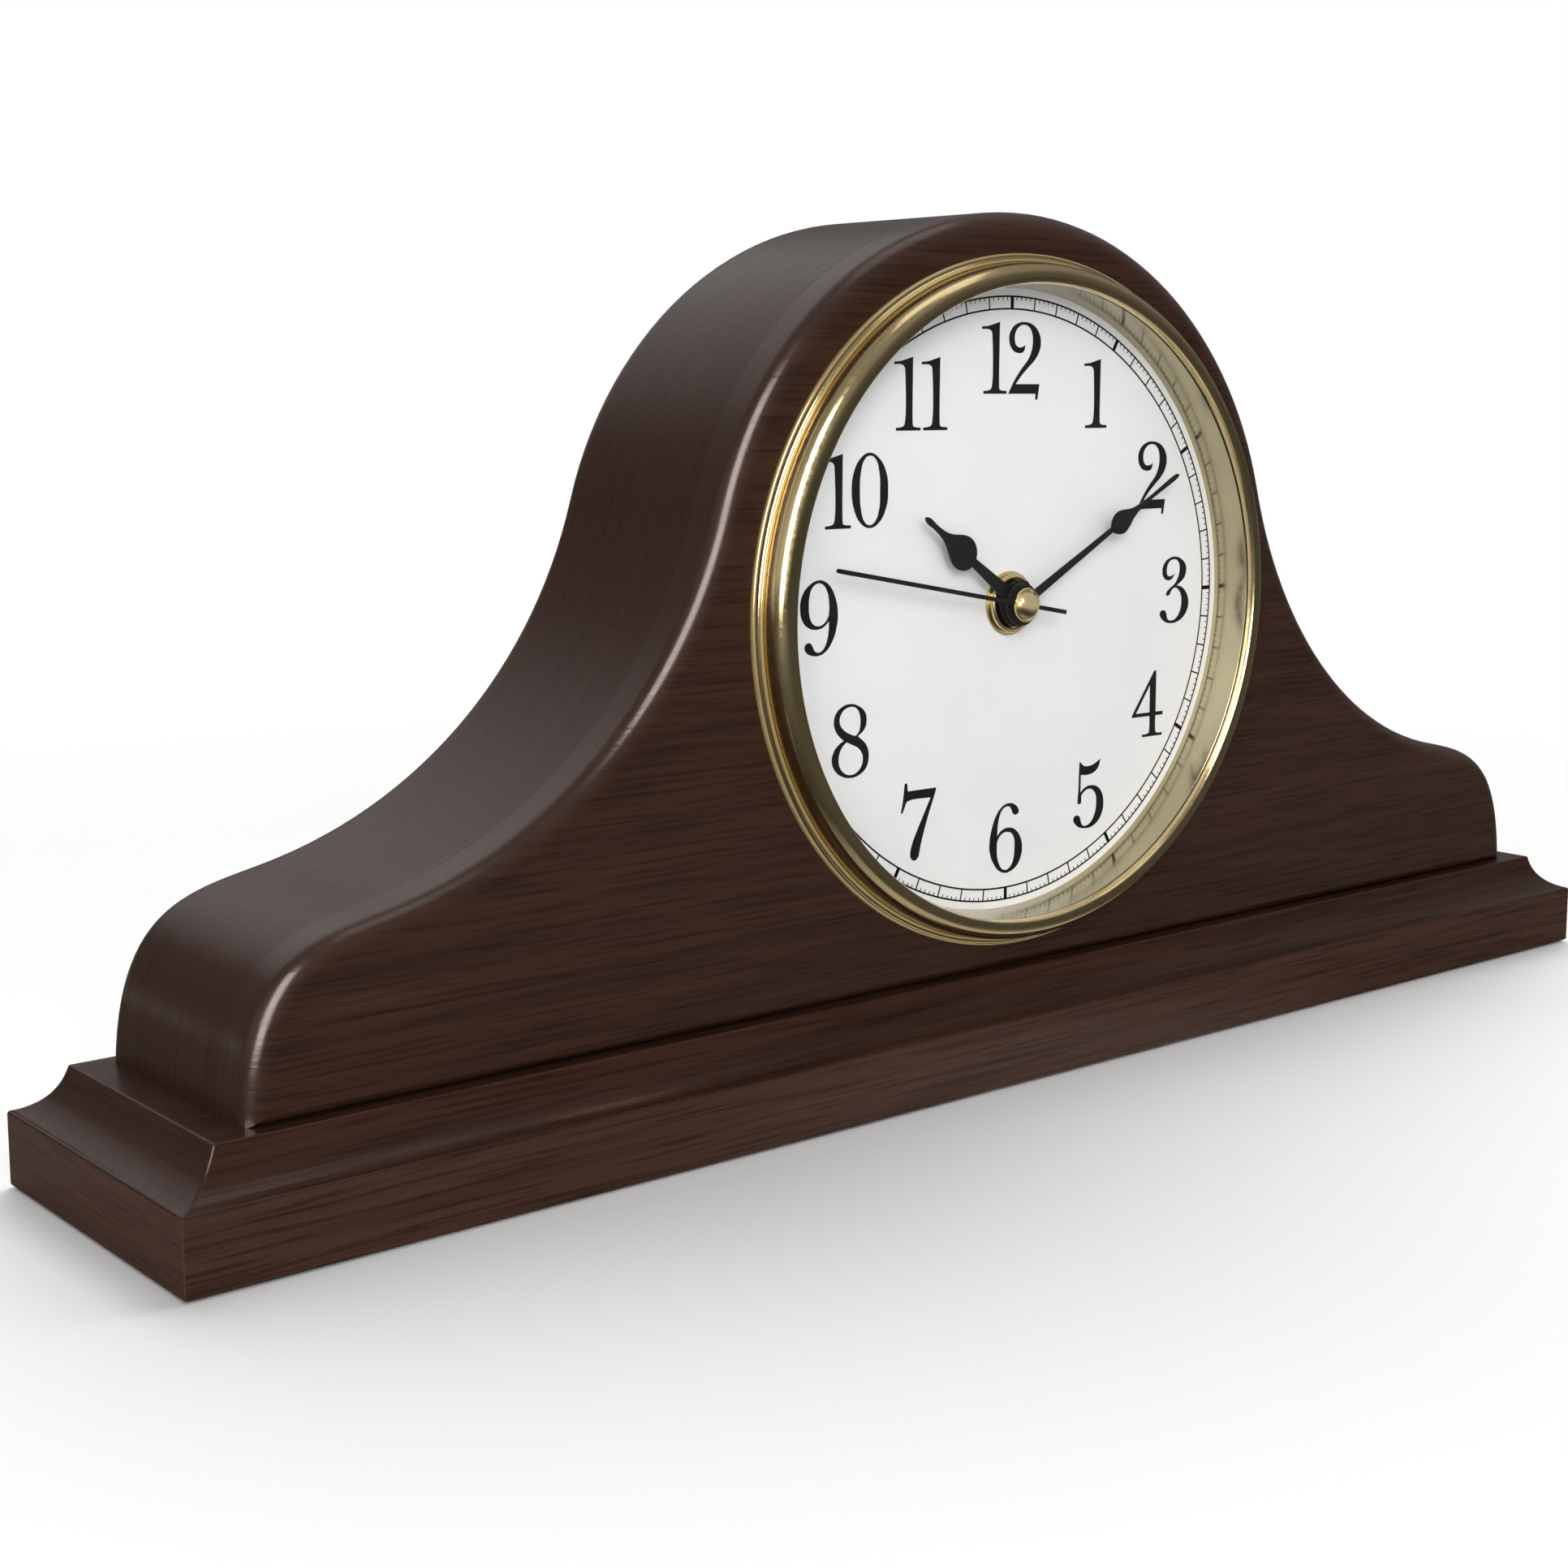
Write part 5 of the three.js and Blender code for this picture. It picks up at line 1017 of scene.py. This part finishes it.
def make_numerals():
    """The twelve upright numerals, each centred on its place on the circle."""
    for hour in range(1, 13):
        outlines = []
        reach = 0
        for digit in str(hour):
            for number, outline in enumerate(DIGITS[digit]):
                shifted = [(point[0] + reach, point[1], *point[2:]) for point in outline]
                outlines.append(wound(shifted, hole=number > 0))
            reach += max(point[0] for outline in DIGITS[digit] for point in outline) + DIGIT_SPACING
        across = [point[0] for outline in outlines for point in outline]
        up = [point[1] for outline in outlines for point in outline]
        centre = ((min(across) + max(across)) / 2, (min(up) + max(up)) / 2)
        turn = math.radians(30 * hour)
        circle = SIDE_NUMERAL_CIRCLE if hour in (3, 9) else NUMERAL_CIRCLE
        shift = NUMERAL_SHIFTS.get(hour, (0, 0))
        place = (circle * math.sin(turn) + shift[0], HAND_HEIGHT + circle * math.cos(turn) + shift[1])
        placed = [[
            (place[0] + (point[0] - centre[0]) * NUMERAL_HEIGHT,
             place[1] + (point[1] - centre[1]) * NUMERAL_HEIGHT, *point[2:])
            for point in outline] for outline in outlines]
        numeral = flat_shape(f"numeral_{hour}", placed, INK_FRONT, INK_REAR, 5, NUMERAL_SWELL)
        dress(numeral, PRINT, "black_enamel")


TRACK_INNER = 66.0 * MM
TRACK_OUTER = 68.75 * MM
TRACK_LINE = 0.4 * MM
MINUTE_LINE = 0.36 * MM
HOUR_MARK = 0.95 * MM
TICK_LINE = 0.22 * MM
TICK_LENGTH = 0.85 * MM
TICK_ANGLE = 1.2


def make_minute_track():
    """Two circles with minute lines, bold hour marks and short ticks between the minutes."""
    def circle(radius):
        near = radius - TRACK_LINE / 2
        far = radius + TRACK_LINE / 2
        return turned("track_circle", sharp([
            (near, INK_FRONT), (far, INK_FRONT), (far, INK_REAR), (near, INK_REAR),
        ]), HAND_AXIS, 240, 1)

    def repeated(name, width, inner, count, angle=0.0):
        mark = block(
            name, (-width / 2, INK_FRONT, HAND_HEIGHT + inner),
            (width / 2, INK_REAR, HAND_HEIGHT + TRACK_OUTER))
        mark.matrix_world = turn_about_hands(angle)
        work_on(put_down(mark))
        bpy.ops.mesh.spin(
            steps=count, dupli=True, angle=2 * math.pi, center=HAND_AXIS, axis=AXES["Y"])
        return clean(mark)

    track = circle(TRACK_INNER)
    marks = [
        circle(TRACK_OUTER),
        repeated("minute_lines", MINUTE_LINE, TRACK_INNER, 60),
        repeated("hour_marks", HOUR_MARK, TRACK_INNER, 12),
    ]
    for part in range(1, 5):
        marks.append(repeated("ticks", TICK_LINE, TRACK_OUTER - TICK_LENGTH, 60, part * TICK_ANGLE))
    join(track, *marks)
    track.name = "minute_track"
    dress(track, PRINT, "black_enamel")


# Hands, from the distance along each and the half width there, in millimetres

HOUR_STATIONS = [
    (1.4, 1.83, C), (17.2, 1.0, C), (17.6, 2.0), (19, 3.35), (20.9, 3.9), (23, 3.45), (24.7, 2.5),
    (26, 1.7), (28, 0.95), (31, 0.62), (34.6, 0.5),
]
MINUTE_STATIONS = [
    (1.3, 1.08, C), (33, 0.6, C), (33.4, 1.2), (34.6, 2.2), (36.3, 2.7), (38.2, 2.3), (40.5, 1.25),
    (43.3, 0.63), (47, 0.45), (58.4, 0.38),
]
SECOND_STATIONS = [(-13.5, 0.5, C), (55.9, 0.5, C), (56.35, 0.3)]
HOUR_TIP = 35.05
MINUTE_TIP = 58.75
SECOND_TIP = 56.5
HOUR_ANGLE = 305.7
MINUTE_ANGLE = 61.4
SECOND_ANGLE = 280.6
HOUR_HUB = 5.2 * MM
MINUTE_HUB = HOUR_HUB - 0.3 * MM
SECOND_HUB = 2.4 * MM
HAND_SHEET = 0.4 * MM
HAND_EDGE = 0.06 * MM
HUB_EDGE = 0.12 * MM
HUB_STEP = 0.03 * MM
CAP_RADIUS = 3.87 * MM


def make_hand(name, node, body, stations, tip, angle, hub_radius, sheet=None):
    """A flat hand with its hub, turned to its place. Without a sheet it is as thick as its hub."""
    low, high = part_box(node)
    front = low[1]
    rear = front + sheet if sheet else high[1]
    right = [(half * MM, HAND_HEIGHT + along * MM, *mark) for along, half, *mark in stations]
    left = [(-x, z, *mark) for x, z, *mark in reversed(right)]
    hand = flat_shape(name, [right + [(0, HAND_HEIGHT + tip * MM)] + left], front, rear)
    ease_edges(hand, HAND_EDGE, 1, 60)
    # The hub's flat faces lie a step inside the solid's, so that none shares a plane with the hand's.
    hub_front = front + HUB_STEP
    hub_rear = high[1] - HUB_STEP
    flat_radius = hub_radius - HUB_EDGE
    unite(hand, turned(f"{name}_hub", sharp([
        (0, hub_front), (flat_radius, hub_front), (hub_radius, hub_front + HUB_EDGE),
        (hub_radius, hub_rear - HUB_EDGE), (flat_radius, hub_rear), (0, hub_rear),
    ]), HAND_AXIS, 72, 1, closed=False))
    hand.matrix_world = turn_about_hands(angle)
    dress(smooth(put_down(hand), 30), BLACK_ENAMEL, "black_enamel", node, body=body)


def make_hands():
    """The three hands, the gilt cap, the nut and the washer."""
    make_hand("spade_hour_hand", "hour_hand", "hour_work",
              HOUR_STATIONS, HOUR_TIP, HOUR_ANGLE, HOUR_HUB, HAND_SHEET)
    make_hand("spade_minute_hand", "minute_hand", "minute_work",
              MINUTE_STATIONS, MINUTE_TIP, MINUTE_ANGLE, MINUTE_HUB, HAND_SHEET)
    make_hand("sweep_second_hand", "second_hand", "second_work",
              SECOND_STATIONS, SECOND_TIP, SECOND_ANGLE, SECOND_HUB)

    low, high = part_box("hand_cap")
    rim = from_rim(CAP_RADIUS, high[1])
    cap = turned("gilt_cap", [
        (0, high[1], CORNER), rim(0.1, 0, CORNER), rim(0, -0.1, CORNER), rim(0, -0.62), rim(0.14, -0.86),
        rim(0.36, -0.8, CORNER), rim(0.55, -1.1), rim(1.3, -1.85), rim(2.5, -2.3), (0, low[1]),
    ], HAND_AXIS, 72, 5, closed=False)
    dress(smooth(cap, 40), GOLD, "gold", "hand_cap", body="second_work")

    low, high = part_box("dial_nut")
    rim = from_rim(high[0], low[1])
    rear_rim = from_rim(high[0], high[1])
    nut = turned("gilt_nut", [
        (NUT_BORE, high[1], CORNER), rear_rim(0.1, 0, CORNER), rear_rim(0, -0.1, CORNER),
        rim(0, 0.5), rim(0.3, 0.05), rim(0.75, 0.1), rim(1.0, 0.45, CORNER), rim(1.6, 0.6, CORNER),
        (NUT_BORE, low[1] + 0.6 * MM, CORNER),
    ], HAND_AXIS, 72, 4)
    dress(smooth(nut, 40), GOLD, "gold", "dial_nut")

    low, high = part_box("dial_washer")
    rim = from_rim(high[0], low[1])
    washer = turned("gilt_washer", [
        (NUT_BORE, high[1], CORNER), (high[0], high[1], CORNER), rim(0, 0.25), rim(0.12, 0.04),
        rim(0.35, 0, CORNER), (NUT_BORE, low[1], CORNER),
    ], HAND_AXIS, 72, 4)
    dress(smooth(washer, 40), GOLD, "gold", "dial_washer")


# Screws

SCREW_HEAD = 3.6 * MM
SCREW_SHANK = 1.9 * MM
SCREW_POINT = 2.85 * MM
SCREW_TIP = 0.05 * MM
SLOT_DEPTH = 1.2 * MM
SLOT_HALF = 0.45 * MM
BASE_HEAD_HEIGHT = 2.4 * MM
BACK_SCREW_TURNS = {"left_upper": 20, "left_lower": -35, "right_upper": 70, "right_lower": 8}
BASE_SCREW_TURNS = {"left_front": 15, "left_rear": 60, "right_front": -25, "right_rear": 40}


def make_screw(length, head):
    """A slotted pan-head screw along Y, with its head's height and its length below the head."""
    screw = turned("screw", [
        (0, -head, CORNER), (SCREW_HEAD * 0.45, -head * 0.99), (SCREW_HEAD * 0.8, -head * 0.82),
        (SCREW_HEAD * 0.97, -head * 0.4), (SCREW_HEAD, -head * 0.12), (SCREW_HEAD * 0.97, 0, CORNER),
        (SCREW_SHANK, 0, CORNER), (SCREW_SHANK, length - SCREW_POINT, CORNER),
        (SCREW_TIP, length, CORNER), (0, length, CORNER),
    ], (0, 0, 0), 48, 4, closed=False)
    slot = block("slot", (-SLOT_HALF, -head - MM, -5 * MM), (SLOT_HALF, -head + SLOT_DEPTH, 5 * MM))
    return smooth(cut(screw, slot), 35)


def drive_screws(screw, node, name, turns, depth_axis, seat, lie):
    """Copies a screw to its places, each with its slot at its own turn."""
    for place_name, turn in turns.items():
        place = middle(f"{node}_{place_name}")
        place[depth_axis] = seat
        copy = copy_of(screw, f"{name}_{place_name}")
        copy.matrix_world = Matrix.Translation(place) @ lie @ Matrix.Rotation(math.radians(turn), 4, "Y")
        dress(put_down(copy), STEEL, "steel", f"{node}_{place_name}")
    throw_away(screw)


def make_screws():
    """The screws of the back panel and of the plinth."""
    low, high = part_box("back_screw_left_upper")
    seat = PANEL_HIGH[1]
    drive_screws(make_screw(seat - low[1], high[1] - seat), "back_screw", "panel_screw",
                 BACK_SCREW_TURNS, 1, seat, Matrix.Rotation(math.pi, 4, "Z"))
    low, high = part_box("base_screw_left_front")
    seat = low[2] + BASE_HEAD_HEIGHT
    drive_screws(make_screw(high[2] - seat, BASE_HEAD_HEIGHT), "base_screw", "plinth_screw",
                 BASE_SCREW_TURNS, 2, seat, Matrix.Rotation(math.pi / 2, 4, "X"))


# Movement

MOULDED_EDGE = 0.25 * MM
KNOB_EDGE = 0.12 * MM
MARK_ROOT = 0.3 * MM
MARK_HEIGHT = 0.35 * MM
PANEL_SINK = 0.35 * MM
PANEL_MARGIN = 8 * MM
PANEL_FOOT = 23 * MM
PANEL_TOP = 34 * MM
PANEL_CORNER = 1.2 * MM
SIGN_UP = 20 * MM
SIGN_LONG = 3.4 * MM
SIGN_SHORT = 0.9 * MM
SIGN_ACROSS = 18 * MM
CELL_BAND_LENGTH = 13 * MM


def mark_shell(shell):
    """Moulds a sunk panel, a collar and arrow round the setting knob and the cell's signs into the rear."""
    def around(radius, angle, *mark):
        turn = math.radians(angle)
        return (knob[0] + radius * MM * math.cos(turn), knob[2] + radius * MM * math.sin(turn), *mark)

    low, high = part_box("movement_rear_shell")
    knob = middle("setting_knob")
    rear = high[1]
    buried = rear - MARK_ROOT
    proud = rear + MARK_HEIGHT
    panel = block(
        "panel", (low[0] + PANEL_MARGIN, rear - PANEL_SINK, low[2] + PANEL_FOOT),
        (high[0] - PANEL_MARGIN, rear + MM, low[2] + PANEL_TOP))
    cut(shell, ease_edges(panel, PANEL_CORNER, 3))
    unite(shell, turned("collar", [
        (5.3 * MM, buried, CORNER), (5.3 * MM, rear + 0.6 * MM, CORNER), (5.6 * MM, rear + 0.75 * MM),
        (6.1 * MM, rear + 0.6 * MM), (6.3 * MM, buried, CORNER),
    ], (knob[0], 0, knob[2]), 72, 3))
    unite(shell, flat_shape("arrow", [[
        around(7.4, 20, CORNER), around(7.4, -25), around(7.4, -70, CORNER),
        around(6.6, -70, CORNER), around(7.9, -92, CORNER), around(9.2, -70, CORNER),
        around(8.4, -70, CORNER), around(8.4, -25), around(8.4, 20, CORNER),
    ]], buried, proud))
    up = low[2] + SIGN_UP
    bars = (
        (SIGN_ACROSS, SIGN_LONG, SIGN_SHORT), (-SIGN_ACROSS, SIGN_LONG, SIGN_SHORT),
        (SIGN_ACROSS, SIGN_SHORT, SIGN_LONG))
    for across, width, height in bars:
        left = across - width / 2
        right = across + width / 2
        foot = up - height / 2
        top = up + height / 2
        bar = sharp([(left, foot), (right, foot), (right, top), (left, top)])
        unite(shell, flat_shape("sign", [bar], buried, proud))
    return smooth(shell, 30)


def make_movement():
    """Moulded shells, setting knob and cell."""
    front_shell = eased_copy("movement_front_shell", "front_moulding", MOULDED_EDGE)
    dress(front_shell, BLACK_PLASTIC, "black_plastic", "movement_front_shell")
    rear_shell = mark_shell(eased_copy("movement_rear_shell", "rear_moulding", MOULDED_EDGE))
    dress(rear_shell, BLACK_PLASTIC, "black_plastic", "movement_rear_shell")
    knob = eased_copy("setting_knob", "ribbed_setting_knob", KNOB_EDGE)
    dress(knob, BLACK_PLASTIC, "black_plastic", "setting_knob", body="setting_work")

    low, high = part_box("battery")
    centre = (0, *middle("battery")[1:])
    radius = (high[2] - low[2]) / 2
    flat_end = from_rim(radius, low[0])
    cap_end = from_rim(radius, high[0])
    cell = turned("cell_can", [
        (0, low[0], CORNER), flat_end(1.4, 0, CORNER), flat_end(0.5, 0.05), flat_end(0, 0.6),
        cap_end(0, -2.6), cap_end(0.25, -1.95), cap_end(0.9, -1.65, CORNER),
        (2.9 * MM, high[0] - 1.5 * MM, CORNER), (2.7 * MM, high[0] - 1.3 * MM),
        (2.6 * MM, high[0] - 0.3 * MM), (2.3 * MM, high[0], CORNER), (0, high[0], CORNER),
    ], centre, 72, 4, "X", closed=False)
    dress(smooth(cell, 40), CELL_JACKET, "cell_jacket", "battery", body="cell")

    def bare_end(face):
        out = math.hypot(face.center.y - centre[1], face.center.z - centre[2])
        return out < radius - 0.95 * MM
    also_finish(cell, CELL_BAND, lambda face: face.center.x > high[0] - CELL_BAND_LENGTH)
    also_finish(cell, STEEL, bare_end)


def paint_solids():
    """Finishes for the solids that show as they are."""
    finishes = [
        (RAW_WOOD, ("back_post_left", "back_post_right", "corner_block_left", "corner_block_right")),
        (BLACK_PLASTIC, ("bezel_retaining_ring", "timer_chip")),
        (WHITE_PLASTIC, ("hour_wheel", "centre_wheel", "second_wheel", "third_wheel",
                         "intermediate_wheel", "minute_wheel", "coil_bobbin")),
        (STEEL, ("rotor", "stator_plate", "coil_core", "quartz_crystal",
                 "battery_contact_positive", "battery_contact_negative")),
        (RUBBER, ("rubber_washer",)), (BRASS, ("movement_bush",)),
        (COPPER, ("coil_winding",)), (CIRCUIT_GREEN, ("circuit_board",)),
    ]
    for finish, names in finishes:
        for name in names:
            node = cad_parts[name]
            node.data.materials.clear()
            node.data.materials.append(finish)


# Floor, light and camera

FLOOR_SIZE = 12
CAMERA_PLACE = (-0.374106, -0.409553, 0.15758)
CAMERA_TURN = (81.6953, -0.1543, -40.5091)
CAMERA_LENS = 54.1425
CAMERA_SENSOR = 36
CAMERA_SHIFT = (-0.046774, -0.035631)
CLOCK = (0, 0, 0.1)
CLOCK_LEFT_END = (-0.15, 0, 0.05)
FLOOR_PALE = ((242, 242, 242), (245, 245, 245))
# The floor's dim grey is painted shade, for what gloss and far bounces see.
FLOOR_DIM = ((74, 74, 74), (80, 80, 80))
FLOOR_WEIGHTS = (0.75, 1, 1)
GLOSS_FADE = (0.06, 0.1)
DIM_FADE = (0.75, 1.1)
BEHIND_FADE = (0.8, 2.0)
WHITE_FADE = (0.25, 0.6)
ROOM_LIGHT = (0.06, 0.3)
ROOM_RISE = (0.0, 0.9)
LEFT_WALL_LIGHT = 0.45
LEFT_WALL_FADE = (-0.95, -0.62)
HORIZON_FADE = (0.0, 0.12)
SWEEP_DIRECTION = (0.72, 0.54, 0.44)
SWEEP_LIGHT = 3.2
SWEEP_FADE = (0.5, 0.95)
UP_BEHIND = (0.1, 0.77, 0.63)
UP_BEHIND_SHARE = 0.6
UP_BEHIND_FADE = (0.87, 0.985)

# Name, place, target, size in metres, watts and whether gloss mirrors the box or surfaces are lit by it
SOFT_BOXES = [
    ("left_front", (-0.65, -1.25, 0.8), CLOCK, (0.45, 0.7), 6.8, False),
    ("front_fill", (-0.2, -1.5, 0.4), CLOCK, (0.6, 0.6), 0.6, False),
    ("left_fill", (-0.7, -0.6, 0.25), CLOCK_LEFT_END, (0.4, 0.4), 1.5, False),
    ("left_window", (-1.4, -0.6, 0.9), CLOCK, (0.8, 1.7), 46, True),
    ("ceiling", (0.3, -0.05, 1.6), CLOCK, (0.8, 0.8), 2, True),
]


def shown_rays(rays, behind):
    """One for rays that show the background: from the camera, through glass and, behind, in gloss."""
    straight_on = worked_out("MAXIMUM", rays["Is Camera Ray"], rays["Is Transmission Ray"])
    in_gloss = worked_out("MULTIPLY", rays["Is Glossy Ray"], behind)
    return worked_out("MAXIMUM", straight_on, in_gloss)


def floor_finish():
    """A pale table top that keeps the shadow, dim in gloss and white further out to the camera."""
    material, shader = new_finish("floor", roughness=0.9, specular_ior_level=0.1)
    tree = material.node_tree
    place = coordinates(tree)
    rays = add_node(tree, "ShaderNodeLightPath").outputs
    distance = vector_work("LENGTH", place)
    beside = vector_work("LENGTH", vector_work("MULTIPLY", place, FLOOR_WEIGHTS, "Vector"))
    # Painted shade: the floor turns dark grey in gloss beyond the clock's foot, and far out for every ray,
    # so it shows dark in reflections and bounce light.
    in_gloss = worked_out("MULTIPLY", rays["Is Glossy Ray"], spread(beside, 0.0, 1.0, *GLOSS_FADE))
    dimmed = worked_out("MAXIMUM", spread(distance, 0.0, 1.0, *DIM_FADE), in_gloss)
    tone = pattern(tree, 3, 2)
    colour = mixed(two_tones(tone, *FLOOR_PALE), two_tones(tone, *FLOOR_DIM), dimmed)
    wire(colour, shader.inputs["Base Color"])
    shown = shown_rays(rays, spread(parts_of(place)["Y"], 0.0, 1.0, *BEHIND_FADE))
    beyond = worked_out("MULTIPLY", shown, spread(distance, 0.0, 1.0, *WHITE_FADE))
    white = add_node(tree, "ShaderNodeEmission", {"Color": WHITE, "Strength": 1.0})
    mix_shaders(
        beyond, shader.outputs["BSDF"], white.outputs["Emission"], tree.nodes["Material Output"])
    return material


def make_floor():
    """A wide plane under the clock."""
    deselect()
    bpy.ops.mesh.primitive_plane_add(size=FLOOR_SIZE, location=(0, 0, 0))
    floor = bpy.context.object
    floor.name = "floor"
    floor.data.materials.append(floor_finish())


def make_world():
    """A dim room with a lighter left wall and a bright sweep that gloss misses, white to the camera."""
    world = bpy.data.worlds.new("studio")
    bpy.context.scene.world = world
    world.use_nodes = True
    tree = world.node_tree
    tree.nodes.clear()
    direction = coordinates(tree, "Generated")
    parts = parts_of(direction)
    rays = add_node(tree, "ShaderNodeLightPath").outputs
    height = spread(parts["Z"], *ROOM_LIGHT, *ROOM_RISE)
    leftwards = spread(parts["X"], LEFT_WALL_LIGHT, 0.0, *LEFT_WALL_FADE)
    above_floor = spread(parts["Z"], 0.0, 1.0, *HORIZON_FADE)
    walls = worked_out("ADD", height, worked_out("MULTIPLY", leftwards, above_floor))
    towards = vector_work("DOT_PRODUCT", direction, SWEEP_DIRECTION)
    sweep = spread(towards, 0.0, SWEEP_LIGHT, *SWEEP_FADE)
    out_of_gloss = spread(rays["Is Glossy Ray"], 1.0, 0.0, 0.0, 1.0)
    strength = worked_out("ADD", walls, worked_out("MULTIPLY", sweep, out_of_gloss))
    room = add_node(tree, "ShaderNodeBackground", {"Color": WHITE})
    wire(strength, room.inputs["Strength"])
    white = add_node(tree, "ShaderNodeBackground", {"Color": WHITE, "Strength": 1.0})
    behind = vector_work("DOT_PRODUCT", direction, UP_BEHIND)
    shown = shown_rays(rays, spread(behind, 0.0, UP_BEHIND_SHARE, *UP_BEHIND_FADE))
    output = add_node(tree, "ShaderNodeOutputWorld")
    mix_shaders(shown, room.outputs["Background"], white.outputs["Background"], output)


def add_lamp(name, place, target, size, power, mirrored):
    """A soft box turned to a target: one that only gloss shows, or one that only lights the surfaces."""
    deselect()
    bpy.ops.object.light_add(type="AREA", location=place)
    lamp = bpy.context.object
    lamp.name = name
    lamp.data.shape = "RECTANGLE"
    lamp.data.size = size[0]
    lamp.data.size_y = size[1]
    lamp.data.energy = power
    lamp.visible_camera = False
    lamp.visible_glossy = mirrored
    lamp.visible_diffuse = not mirrored
    lamp.visible_transmission = not mirrored
    aim = Vector(target) - Vector(place)
    lamp.rotation_euler = aim.to_track_quat("-Z", "Y").to_euler()


def make_camera():
    """The photograph's view."""
    deselect()
    bpy.ops.object.camera_add(
        location=CAMERA_PLACE, rotation=tuple(math.radians(angle) for angle in CAMERA_TURN))
    camera = bpy.context.object
    camera.data.lens = CAMERA_LENS
    camera.data.sensor_width = CAMERA_SENSOR
    camera.data.shift_x = CAMERA_SHIFT[0]
    camera.data.shift_y = CAMERA_SHIFT[1]
    bpy.context.scene.camera = camera


def make_studio():
    """Floor, world and soft boxes."""
    make_floor()
    make_world()
    for box in SOFT_BOXES:
        add_lamp(*box)
    bpy.context.scene.view_settings.view_transform = "Standard"


make_camera()
make_plinth()
make_felt_pads()
make_case()
make_bezel()
make_glass_and_dial()
make_numerals()
make_minute_track()
make_hands()
make_screws()
make_movement()
paint_solids()
make_studio()
